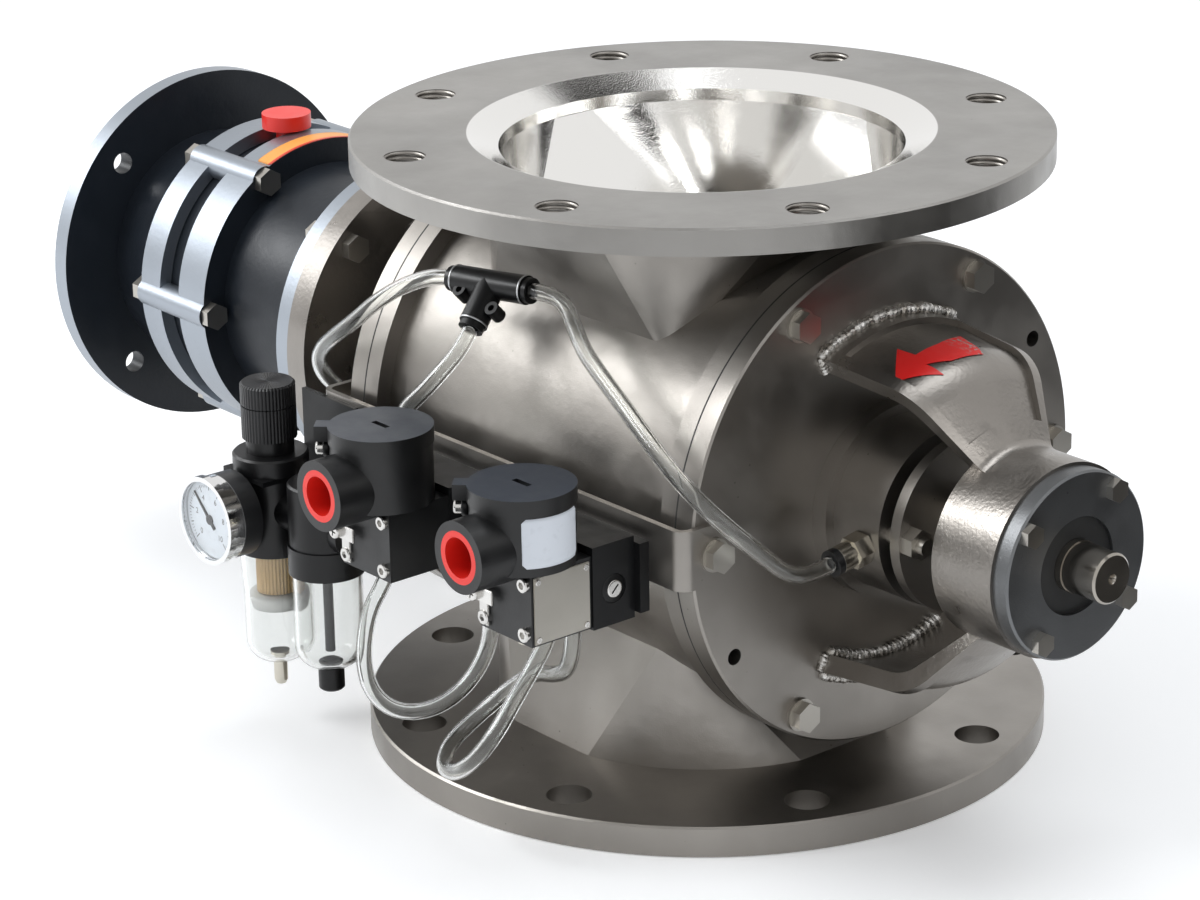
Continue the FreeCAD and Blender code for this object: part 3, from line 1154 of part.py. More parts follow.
def valves():
    """Two solenoid valves, each a block with an operator, coil case, lid and override."""
    gap_middle, middle, heights = strap_and_manifold()
    screws, plugs = [], []
    screw_radius = S.valve_screw_diameter / 2
    head, high = S.valve_screw_head_diameter / 2, S.valve_screw_head_height
    for sign in (1, -1):
        screws.append(cheese_screw(gap_middle + sign * S.manifold_screw_spacing / 2, VALVE_BACK,
                                   middle, screw_radius, S.manifold_depth, head, high))
    bottom = S.valve_bottom_height
    for number in (1, 2):
        name = "valve_%d" % number
        axis_x = valve_axis_x(number)
        right, left = S.valve_front_overhang, S.valve_front_overhang - S.valve_length
        block = new_body(name + "_block", x=axis_x, z=bottom)
        sketch = new_sketch(block, "XY_Plane")
        outline(sketch, [(left, -VALVE_FRONT, 2), (right, -VALVE_FRONT), (right, -VALVE_BACK),
                         (left, -VALVE_BACK)])
        pad(block, sketch, S.valve_height)
        holes = new_sketch(block, "XZ_Plane", VALVE_BACK)
        screw_x = left + S.valve_screw_inset
        for height in heights:
            circle(holes, screw_x, height, screw_radius)
            screws.append(cheese_screw(axis_x + screw_x, VALVE_FRONT, bottom + height,
                                       screw_radius, S.valve_depth + S.manifold_depth - 1,
                                       head, high))
        pocket(block, holes, S.valve_depth, reverse=True)
        seat = new_sketch(block, "YZ_Plane", right)
        height = S.override_height - bottom
        circle(seat, -PORT_LINE, height, S.override_diameter / 2 + S.override_clearance)
        pocket(block, seat, S.override_length - S.override_proud)
        for column, way in VALVE_PORTS[number]:
            hole = new_sketch(block, "XY_Plane", 0 if way < 0 else S.valve_height)
            circle(hole, valve_port_x(number, column) - axis_x, -AIR_PORT_LINE, S.port_bore / 2)
            pocket(block, hole, S.port_depth, reverse=way < 0)
            face = bottom + (S.valve_height if way > 0 else 0)
            place = valve_port_x(number, column), -AIR_PORT_LINE, face
            if (number, column) == ELBOW_PORT:
                elbow_fitting(*place)
            else:
                cartridge_fitting(*place, (0, 0, way))
        if number == 1:
            supply = new_sketch(block, "XZ_Plane", VALVE_FRONT)
            circle(supply, left + S.supply_port_inset, S.supply_port_height - bottom,
                   S.supply_pipe_diameter / 2)
            pocket(block, supply, S.supply_port_depth)

        override = new_body(name + "_override",
                            x=axis_x + right - S.override_length + S.override_proud,
                            y=-PORT_LINE, z=S.override_height)
        knob = S.override_diameter / 2
        revolve(override, "x", [(0, 0), (0, knob), (S.override_length, knob),
                                (S.override_length, 0)])
        slot = new_sketch(override, "YZ_Plane", S.override_length)
        box(slot, -S.override_slot_width / 2, -knob - 1, S.override_slot_width / 2, knob + 1)
        pocket(override, slot, S.override_slot_depth)

        case = new_body(name + "_case", x=axis_x)
        nodes.pop(case.Label)
        half = S.operator_width / 2
        sketch = new_sketch(case, "XY_Plane", S.operator_bottom_height)
        box(sketch, -half, -VALVE_FRONT - S.operator_depth, half, -VALVE_FRONT)
        pad(case, sketch, S.operator_height)
        shoulder = S.operator_bottom_height + S.operator_height
        sketch = new_sketch(case, "XY_Plane", shoulder)
        circle(sketch, 0, -S.coil_axis_distance, S.coil_case_diameter / 2)
        pad(case, sketch, S.coil_case_top - shoulder)
        sketch = new_sketch(case, "XZ_Plane", S.coil_axis_distance)
        circle(sketch, 0, S.conduit_height, S.conduit_diameter / 2)
        pad(case, sketch, S.conduit_reach)
        mouth = S.coil_axis_distance + S.conduit_reach
        sketch = new_sketch(case, "XZ_Plane", mouth)
        circle(sketch, 0, S.conduit_height, S.conduit_bore / 2)
        pocket(case, sketch, S.conduit_bore_depth)
        face = VALVE_FRONT + S.operator_depth
        holes = new_sketch(case, "XZ_Plane", face)
        for x_sign in (1, -1):
            for z_sign in (1, -1):
                x = x_sign * S.coil_screw_spacing / 2
                z = S.operator_bottom_height + S.operator_height / 2 \
                    + z_sign * S.coil_screw_rise / 2
                circle(holes, x, z, S.coil_screw_diameter / 2)
                screws.append(cheese_screw(axis_x + x, face, z, S.coil_screw_diameter / 2,
                                           S.coil_screw_depth, S.coil_screw_head_diameter / 2,
                                           S.coil_screw_head_height))
        pocket(case, holes, S.coil_screw_depth)

        lid = new_body(name + "_lid", x=axis_x, y=-S.coil_axis_distance, z=S.coil_case_top)
        nodes.pop(lid.Label)
        sketch = new_sketch(lid, "XY_Plane")
        radius = S.coil_lid_diameter / 2
        circle(sketch, 0, 0, radius)
        pad(lid, sketch, S.coil_lid_height)
        ear = new_sketch(lid, "XY_Plane")
        half = S.lid_ear_width / 2
        outline(ear, [turned(u, v, 225) for u, v in (
            (radius - 5, -half), (radius + S.lid_ear_reach, -half),
            (radius + S.lid_ear_reach, half), (radius - 5, half))])
        pad(lid, ear, S.coil_lid_height)
        slot = new_sketch(lid, "XY_Plane", S.coil_lid_height)
        box(slot, -S.coil_lid_slot_length / 2, -S.coil_lid_slot_width / 2,
            S.coil_lid_slot_length / 2, S.coil_lid_slot_width / 2)
        pocket(lid, slot, S.coil_lid_slot_depth)
        group(name + "_operator", [case, lid])

        start = mouth - S.conduit_plug_length
        plugs.append(cut(
            rod(axis_x, -start, S.conduit_height, (0, -1, 0), S.conduit_bore / 2,
                S.conduit_plug_length),
            rod(axis_x, -start, S.conduit_height, (0, -1, 0), S.conduit_plug_bore / 2,
                S.conduit_plug_length)))
    group("valve_screws", screws)
    group("conduit_plugs", plugs)


def bowl_outline(radius, neck_radius, neck, top, bottom, bore):
    """A thin bowl with a rounded bottom and a hole for its drain."""
    wall, turn = S.bowl_wall, S.bowl_round
    return [(bore, bottom), (radius, bottom, turn), (radius, neck), (neck_radius, top),
            (neck_radius - wall, top), (radius - wall, neck), (radius - wall, bottom + wall,
                                                               turn - wall), (bore, bottom + wall)]


def supply_nipple(outlet_x):
    """The bent nipple that feeds the first valve from the lubricator's outlet."""
    radius = S.supply_pipe_diameter / 2
    riser, foot = radius + S.elbow_step, radius + S.elbow_foot
    turn_x = valve_axis_x(1) + S.valve_front_overhang - S.valve_length + S.supply_port_inset
    low, high = S.air_port_height, S.supply_port_height
    port_fittings.append(fuse([
        rod(outlet_x - S.port_depth, -AIR_LINE, low, (1, 0, 0), S.port_bore / 2, S.port_depth),
        rod(outlet_x, -AIR_LINE, low, (1, 0, 0), radius, turn_x - outlet_x),
        rod(turn_x, -AIR_LINE, low - foot, (0, 0, 1), riser, high - low + 2 * foot),
        rod(turn_x, -AIR_LINE, high, (0, 1, 0), radius,
            AIR_LINE - VALVE_FRONT + S.supply_port_depth)]))


def air_preparation():
    """The filter regulator with its gauge, and the lubricator, hung from a bracket."""
    regulator_x = S.regulator_axis_distance
    lubricator_x = regulator_x + S.air_unit_pitch
    thick = S.air_bracket_thickness
    radius = S.air_body_diameter / 2

    body = new_body("regulator_body", x=regulator_x, y=-AIR_LINE)
    neck, stem = S.bonnet_neck_diameter / 2, S.knob_stem_diameter / 2
    bonnet_top = S.knob_bottom - S.knob_stem_gap
    revolve(body, "z", [(0, S.air_body_bottom), (radius, S.air_body_bottom),
                        (radius, S.collar_bottom), (neck, S.collar_bottom), (neck, bonnet_top),
                        (stem, bonnet_top), (stem, S.knob_stem_top), (0, S.knob_stem_top)])
    port = new_sketch(body, "YZ_Plane")
    circle(port, 0, S.air_port_height, S.air_port_boss_diameter / 2)
    pad(body, port, S.air_unit_pitch / 2)
    boss = new_sketch(body, "XZ_Plane")
    circle(boss, 0, S.air_port_height, S.gauge_boss_diameter / 2)
    pad(body, boss, S.gauge_boss_reach)

    bracket = new_body("air_bracket", x=regulator_x, z=S.collar_bottom)
    half = S.air_bracket_width / 2
    sketch = new_sketch(bracket, "XY_Plane")
    box(sketch, -half, -AIR_LINE - half, half, -STRAP_FACE)
    pad(bracket, sketch, thick)
    hole = new_sketch(bracket, "XY_Plane")
    circle(hole, 0, -AIR_LINE, neck)
    pocket(bracket, hole, thick, reverse=True)
    sketch = new_sketch(bracket, "XZ_Plane", STRAP_FACE)
    box(sketch, -half, 0, S.air_bracket_tail, S.air_bracket_rise)
    pad(bracket, sketch, thick)

    nut = new_body("panel_nut", x=regulator_x, y=-AIR_LINE)
    nut_bottom = S.collar_bottom + thick
    collar = S.panel_nut_diameter / 2
    revolve(nut, "z", [(neck, nut_bottom), (collar, nut_bottom), (collar, S.collar_top - 1),
                       (collar - 1, S.collar_top), (neck, S.collar_top)])

    knob = new_body("regulator_knob", x=regulator_x, y=-AIR_LINE)
    grip, bore = S.knob_diameter / 2, stem + S.running_gap
    cap_bottom = S.knob_top - S.knob_cap_height
    groove = S.knob_groove
    revolve(knob, "z", [(bore, S.knob_bottom), (grip, S.knob_bottom), (grip, cap_bottom - groove),
                        (grip - groove, cap_bottom - groove), (grip - groove, cap_bottom),
                        (grip, cap_bottom), (grip, S.knob_top - 1), (grip - 1, S.knob_top),
                        (0, S.knob_top), (0, S.knob_stem_top + S.knob_stem_gap),
                        (bore, S.knob_stem_top + S.knob_stem_gap)])

    bowl = new_body("filter_bowl", x=regulator_x, y=-AIR_LINE)
    drain = S.drain_diameter / 2
    revolve(bowl, "z", bowl_outline(S.bowl_lower_diameter / 2, S.bowl_diameter / 2,
                                    S.bowl_neck_height, S.air_body_bottom,
                                    S.filter_bowl_bottom, drain + S.drain_clearance))
    element = new_body("filter_element", x=regulator_x, y=-AIR_LINE)
    outer = S.filter_diameter / 2
    bottom = S.air_body_bottom - S.filter_length
    revolve(element, "z", [(outer - 4, bottom), (outer, bottom), (outer, S.air_body_bottom),
                           (outer - 4, S.air_body_bottom)])
    tap = new_body("filter_drain", x=regulator_x, y=-AIR_LINE)
    floor = S.filter_bowl_bottom + S.bowl_wall + S.drain_clearance
    revolve(tap, "z", [(0, S.drain_bottom), (drain - 1, S.drain_bottom),
                       (drain, S.drain_bottom + 2), (drain, floor), (drain + 1.5, floor),
                       (drain + 1.5, floor + 2), (0, floor + 2)])

    gauge = new_body("gauge_case", x=regulator_x, y=-AIR_LINE, z=S.air_port_height)
    stem, dial = S.gauge_stem_diameter / 2, S.gauge_diameter / 2
    front = -S.gauge_reach
    back = front + S.gauge_depth
    lip, recess = S.gauge_bezel_lip, S.gauge_dial_recess
    revolve(gauge, "y", [(-S.gauge_boss_reach, 0), (-S.gauge_boss_reach, stem), (back, stem),
                         (back, dial - 1), (front + recess, dial - 1), (front + recess, dial),
                         (front, dial), (front, dial - lip), (front + recess, dial - lip),
                         (front + recess, 0)])
    pointer = new_body("gauge_pointer", x=regulator_x, y=-AIR_LINE + front + recess,
                       z=S.air_port_height)
    hub = S.pointer_hub_diameter / 2
    sketch = new_sketch(pointer, "XZ_Plane", S.pointer_gap)
    circle(sketch, 0, 0, hub)
    pad(pointer, sketch, S.pointer_thickness)
    sketch = new_sketch(pointer, "XZ_Plane", S.pointer_gap)
    half = S.pointer_width / 2
    tip = S.pointer_length
    outline(sketch, [turned(u, v, 135) for u, v in (
        (-tip / 3, -half), (tip, -half / 3), (tip, half / 3), (-tip / 3, half))])
    pad(pointer, sketch, S.pointer_thickness)

    oiler = new_body("lubricator_head", x=lubricator_x, y=-AIR_LINE)
    nodes.pop(oiler.Label)
    collar, tube = S.collar_diameter / 2, S.oil_tube_diameter / 2
    low, high, top = S.lubricator_collar_bottom, S.lubricator_collar_top, S.lubricator_top
    tube_end = S.lubricator_bowl_bottom + S.bowl_wall + 6
    revolve(oiler, "z", [(0, tube_end), (tube, tube_end), (tube, low), (collar, low),
                         (collar, high), (radius, high), (radius, top - 1),
                         (radius - 1, top), (0, top)])
    reach = S.air_unit_pitch / 2
    for way in (1, -1):
        port = new_sketch(oiler, "YZ_Plane")
        circle(port, 0, S.air_port_height, S.air_port_boss_diameter / 2)
        pad(oiler, port, reach, reverse=way < 0)
    outlet = new_sketch(oiler, "YZ_Plane", reach)
    circle(outlet, 0, S.air_port_height, S.port_bore / 2)
    pocket(oiler, outlet, S.port_depth)
    supply_nipple(lubricator_x + reach)
    plug = new_body("lubricator_plug", x=lubricator_x, y=-AIR_LINE)
    nodes.pop(plug.Label)
    knob, stem, bottom = S.lubricator_drain_diameter / 2, 4, S.lubricator_bowl_bottom
    revolve(plug, "z", [(0, S.lubricator_drain_bottom), (knob - 1, S.lubricator_drain_bottom),
                        (knob, S.lubricator_drain_bottom + 1), (knob, bottom), (stem, bottom),
                        (stem, bottom + S.bowl_wall + 1), (0, bottom + S.bowl_wall + 1)])
    group("lubricator_body", [oiler, plug])
    glass = new_body("lubricator_bowl", x=lubricator_x, y=-AIR_LINE)
    outer = S.lubricator_bowl_diameter / 2
    wall, turn = S.bowl_wall, S.bowl_round
    revolve(glass, "z", [(stem, bottom), (outer, bottom, turn), (outer, low), (outer - wall, low),
                         (outer - wall, bottom + wall, turn - wall), (stem, bottom + wall)])


# Centre lines of the air tubes between the straight runs at their two fittings: the first
# run's length, the points, and the last run's length.
TUBE_POINTS = {
    "air_tube_far_purge": (9, [
        (-75, -116.8, 236.5), (-86.9, -121.6, 230.2), (-101, -125.7, 219.9),
        (-114.6, -127.6, 208.3), (-129.3, -128.1, 198), (-144.1, -126.2, 187.8),
        (-156.5, -120.6, 176), (-163.4, -110.9, 162.6), (-163.6, -97.9, 150.4),
        (-160.9, -84.6, 143.4)], 9.6),
    "air_tube_near_purge": (11.7, [
        (18.2, -101, 242.3), (32.5, -108.2, 237.3), (48.8, -115.9, 230.7),
        (67.6, -121.1, 224), (86.8, -125.4, 216.8), (105.7, -129.4, 208.6),
        (124.5, -131.6, 198.9), (141.6, -129.4, 187.2), (154, -121, 174.3),
        (160.4, -107, 160), (160.3, -90.9, 145.7)], 13.3),
    "air_tube_tee": (11.2, [
        (-27.6, -140.6, 207.1), (-34.6, -146.6, 196.4), (-44, -150.5, 186.8)], 11.2),
    "air_tube_valves": (11.9, [
        (-58.4, -156.9, 94.3), (-59.1, -164.7, 83.5), (-57.9, -169.7, 70.9),
        (-54, -173.7, 58.3), (-44.7, -177.2, 48.8), (-32, -176.9, 43.4),
        (-19, -172.2, 42.9), (-8.9, -163.8, 46.8), (-4, -152.7, 53.7), (-1.8, -143.1, 63.7),
        (1.6, -139.2, 76.7), (6.7, -141.8, 89.5), (15.6, -148, 98.2)], 11.9),
    "air_tube_loop": (13, [
        (59.8, -157.8, 89.3), (61.6, -171.1, 76.9), (64.3, -184.5, 64.7), (57.9, -193, 50),
        (43.6, -194.8, 39), (26.4, -188.4, 35.3), (14, -174.4, 39.3), (12.7, -156.6, 47),
        (21.8, -144.2, 60.5), (37.6, -140.3, 73.3), (56.6, -143.8, 78.9),
        (73.4, -149.2, 87.8)], 13),
}
ARC_SHARE = 0.45
TEE_RUN = Vector(0.9787, 0.1981, 0.0548)
TEE_STEM = Vector(0.179, -0.6901, -0.7012)
tube_lines = {}


def tee_fitting():
    """The union tee of the purge tubes, with its release collars and two fixing eyes."""
    centre = Vector(S.tee_x.number, S.tee_y.number, S.tee_height.number)
    across = TEE_RUN.cross(TEE_STEM)
    arm, ring = S.tee_arm_length, S.push_ring_length
    solids, eyes = [], []
    for way in (TEE_RUN * -1, TEE_RUN, TEE_STEM):
        solids.append(rod(*centre, way, S.tee_body_diameter / 2, arm - ring))
        face = centre + way * (arm - ring).number
        solids.append(rod(*face, way, S.push_ring_diameter / 2, ring))
    for run, stem in ((-14.5, 7), (9.5, 14)):
        length = S.tee_lug_length
        eye = centre + TEE_RUN * run + TEE_STEM * stem - across * (length.number / 2)
        solids.append(rod(*eye, across, S.tee_lug_diameter / 2, length))
        eyes.append(rod(*eye, across, S.tee_lug_hole / 2, length))
    group("tee_fitting", [cut(fuse(solids), fuse(eyes))])


def purge_mouth(side):
    """The middle of a purge fitting's mouth, and the way it faces."""
    angle = math.radians(S.purge_port_angle.number)
    way = Vector(0, math.cos(angle), math.sin(angle))
    reach = S.hub_diameter / 2 + S.purge_hex_height + S.purge_collar_length
    x = side * (COVER_FACE + S.purge_port_distance).number
    return Vector(x, 0, AXIS_HEIGHT.number) + way * reach.number, way


def valve_mouth(number, column, way):
    """The middle of a valve port's mouth, and the way it faces."""
    face = S.valve_bottom_height + (S.valve_height if way > 0 else 0)
    place = Vector(valve_port_x(number, column).number, -AIR_PORT_LINE.number, face.number)
    if (number, column) == ELBOW_PORT:
        return place - Vector(S.elbow_reach.number, 0, S.elbow_drop.number), Vector(-1, 0, 0)
    return place + Vector(0, 0, way * S.push_ring_length.number), Vector(0, 0, way)


def tee_mouth(way):
    centre = Vector(S.tee_x.number, S.tee_y.number, S.tee_height.number)
    return centre + way * S.tee_arm_length.number, way


def rounded_line(points):
    """Straight runs joined by tangent arcs; gives the wire and its smallest arc radius."""
    edges, radii, last = [], [], points[0]
    for before, corner, after in zip(points, points[1:], points[2:]):
        back, ahead = before - corner, after - corner
        reach = ARC_SHARE * min(back.Length, ahead.Length)
        half_angle = back.getAngle(ahead) / 2
        back.normalize()
        ahead.normalize()
        start, end = corner + back * reach, corner + ahead * reach
        inward = (back + ahead).normalize()
        radius = reach * math.tan(half_angle)
        middle = corner + inward * (radius / math.sin(half_angle) - radius)
        edges.append(Part.makeLine(last, start))
        edges.append(Part.Arc(start, middle, end).toShape())
        radii.append(radius)
        last = end
    edges.append(Part.makeLine(last, points[-1]))
    return Part.Wire(edges), min(radii)


def air_tube(label, first, last):
    """A flexible tube between two mouths, along its listed points."""
    (start, out), (end, back) = first, last
    first_run, inner, last_run = TUBE_POINTS[label]
    points = [start, start + out * first_run]
    points += [Vector(*place) for place in inner]
    points += [end + back * last_run, end]
    line = doc.addObject("Part::Feature", label + "_line")
    line.Shape, smallest = rounded_line(points)
    turn = Rotation(Vector(0, 0, 1), out)
    sweeps = []
    for diameter in (S.tube_diameter, S.tube_bore):
        ring = doc.addObject("Part::Circle", label + "_ring")
        bind(ring, "Radius", diameter / 2)
        ring.Placement = Placement(start, turn)
        sweep = doc.addObject("Part::Sweep", label + "_sweep")
        sweep.Sections = [ring]
        sweep.Spine = (line, ["Edge%d" % (i + 1) for i in range(len(line.Shape.Edges))])
        sweep.Solid = True
        sweep.Frenet = False
        sweeps.append(sweep)
    group(label, [cut(*sweeps)])
    tube_lines[label] = (line, smallest)


def air_tubes():
    """The purge tubes from the tee, the link between the valves and the exhaust loop."""
    air_tube("air_tube_far_purge", tee_mouth(TEE_RUN * -1), purge_mouth(FAR))
    air_tube("air_tube_near_purge", tee_mouth(TEE_RUN), purge_mouth(NEAR))
    air_tube("air_tube_tee", tee_mouth(TEE_STEM), valve_mouth(1, 1, 1))
    air_tube("air_tube_valves", valve_mouth(1, 0.5, -1), valve_mouth(2, 0.5, -1))
    air_tube("air_tube_loop", valve_mouth(2, 1.5, -1), valve_mouth(2, 2.5, -1))


def print_tubes():
    """Each tube's length, smallest bend and volume against its section times length."""
    outer, inner = S.tube_diameter.number / 2, S.tube_bore.number / 2
    section = math.pi * (outer * outer - inner * inner)
    for label, (line, smallest) in tube_lines.items():
        length = line.Shape.Length
        share = nodes[label].Shape.Volume / (section * length)
        print("%s: %.0f mm long, bends %.1f mm or more, volume %.4f of section by length"
              % (label, length, smallest, share))


housing()
end_covers()
shaft_seals()
bearing_brackets()
bearings()
rotor_and_shaft()
gear_unit()
valves()
air_preparation()
tee_fitting()
air_tubes()
group("port_fittings", port_fittings)
group("fitting_collars", fitting_collars)
doc.recompute()



def check_document():
    """Stops on any failed object, open sketch or broken solid."""
    for item in doc.Objects:
        if "Invalid" in item.State or "Error" in item.State:
            raise RuntimeError("%s failed: %s" % (item.Label, item.State))
        if item.isDerivedFrom("Sketcher::SketchObject") and not item.FullyConstrained:
            raise RuntimeError("%s is not fully constrained" % item.Label)
    bad = [label for label, item in nodes.items()
           if item.Shape.isNull() or not item.Shape.isValid() or not item.Shape.Solids]
    if bad:
        raise RuntimeError("no valid solid: " + ", ".join(bad))


def export_nodes():
    os.makedirs("parts", exist_ok=True)
    for label, item in nodes.items():
        item.Shape.exportStep(os.path.join("parts", label + ".step"))


check_document()
export_nodes()
print_tubes()
print("%d nodes" % len(nodes))
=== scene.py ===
import bmesh
import bpy
import json
import math
import random
from mathutils import Matrix, Vector, noise
from mathutils.bvhtree import BVHTree


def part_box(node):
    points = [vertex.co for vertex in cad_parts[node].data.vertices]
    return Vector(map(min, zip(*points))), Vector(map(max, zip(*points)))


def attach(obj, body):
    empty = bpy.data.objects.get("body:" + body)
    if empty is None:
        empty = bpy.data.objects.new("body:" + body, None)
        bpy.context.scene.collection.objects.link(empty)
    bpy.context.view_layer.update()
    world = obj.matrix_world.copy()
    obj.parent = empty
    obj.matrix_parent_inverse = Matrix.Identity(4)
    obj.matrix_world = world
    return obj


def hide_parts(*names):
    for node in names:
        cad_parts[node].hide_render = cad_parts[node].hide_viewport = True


# Rotary airlock valve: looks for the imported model. Metres, Z up, X along the shaft,
# and the air equipment on the -Y side.

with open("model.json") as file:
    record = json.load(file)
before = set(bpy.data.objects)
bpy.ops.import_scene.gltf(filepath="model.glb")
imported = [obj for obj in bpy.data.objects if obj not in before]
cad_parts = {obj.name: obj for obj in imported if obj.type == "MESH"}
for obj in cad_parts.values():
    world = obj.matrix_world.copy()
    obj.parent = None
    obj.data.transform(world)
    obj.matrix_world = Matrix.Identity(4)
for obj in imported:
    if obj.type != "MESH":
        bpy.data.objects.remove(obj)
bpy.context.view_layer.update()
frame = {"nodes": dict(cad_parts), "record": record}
nodes = frame["nodes"]

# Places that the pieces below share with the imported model.
AXIS_HEIGHT = 0.153
COVER_FACE = 0.130
PIPE_BOLT_RADIUS = 0.1475
TIE_BOLT_RADIUS = 0.078
ARM_RADIUS = 0.083
RIM_RADIUS = 0.083
THROAT_LIMIT, THROAT_BOTTOM, LIP_RADIUS = 0.1005, 0.17, 0.1132
LID_LEVEL, PURGE_COLLAR_RADIUS, BEZEL_DEPTH = 0.19, 0.0598, 0.1966
VALVE_AXES = {1: -0.0185, 2: 0.0865}
COIL_LINE = -0.184
OPERATOR_FACE, OPERATOR_MIDDLE, OPERATOR_HALF = -0.195, 0.1395, 0.0185
BLOCK_RIGHT, BLOCK_LENGTH = 0.0195, 0.066
BLOCK_FACE, BLOCK_BOTTOM = -0.160, 0.121
KNOB_AXIS = (-0.1375, -0.165)
GAUGE_CENTRE = Vector((-0.1375, -0.2021, 0.117))
TEE_CENTRE = Vector((-0.0312, -0.106, 0.242))
TEE_WAYS = (Vector((0.9787, 0.1981, 0.0548)), Vector((-0.9787, -0.1981, -0.0548)),
            Vector((0.179, -0.6901, -0.7012)))
TUBE_DIAMETER, TUBE_BORE = 0.008, 0.0055

# The way out of the front, and the point that the lamps aim at.
FRONT = (0, -1, 0)
MIDDLE = (0, 0, 0.15)

# Lines that masks measure from: two coordinates, each with the line's place in it.
PIPE_LINE = ((0, 0.0), (1, 0.0))
SHAFT_LINE = ((1, 0.0), (2, AXIS_HEIGHT))
KNOB_LINE = tuple(enumerate(KNOB_AXIS))

# Colours that more than one material has.
STEEL = (0.3, 0.282, 0.26)
STEEL_FLANGE = (0.31, 0.3, 0.285)
MIRROR = (0.8, 0.79, 0.77)
RIM_METAL = (0.33, 0.36, 0.4)

CAMERA_PLACE = Vector((1.38965, -1.21322, 0.81139))
CAMERA_YAW, CAMERA_PITCH, CAMERA_ROLL = 2.45188, 0.34848, -0.018
FOCAL_MM = 118.9


def place_object(name, data):
    piece = bpy.data.objects.new(name, data)
    bpy.context.collection.objects.link(piece)
    return piece


def add_camera():
    """The photograph's viewpoint, as a place, a heading, a downward tilt and a roll."""
    heading = Vector((math.cos(CAMERA_YAW) * math.cos(CAMERA_PITCH),
                      math.sin(CAMERA_YAW) * math.cos(CAMERA_PITCH), -math.sin(CAMERA_PITCH)))
    level = Vector((math.sin(CAMERA_YAW), -math.cos(CAMERA_YAW), 0))
    upright = level.cross(heading)
    right = math.cos(CAMERA_ROLL) * level + math.sin(CAMERA_ROLL) * upright
    up = -math.sin(CAMERA_ROLL) * level + math.cos(CAMERA_ROLL) * upright
    data = bpy.data.cameras.new("camera")
    data.lens = FOCAL_MM
    data.sensor_width = 36
    data.clip_end = 20
    camera = place_object("camera", data)
    turn = Matrix((right, up, -heading)).transposed()
    camera.matrix_world = Matrix.Translation(CAMERA_PLACE) @ turn.to_4x4()
    bpy.context.scene.camera = camera


add_camera()


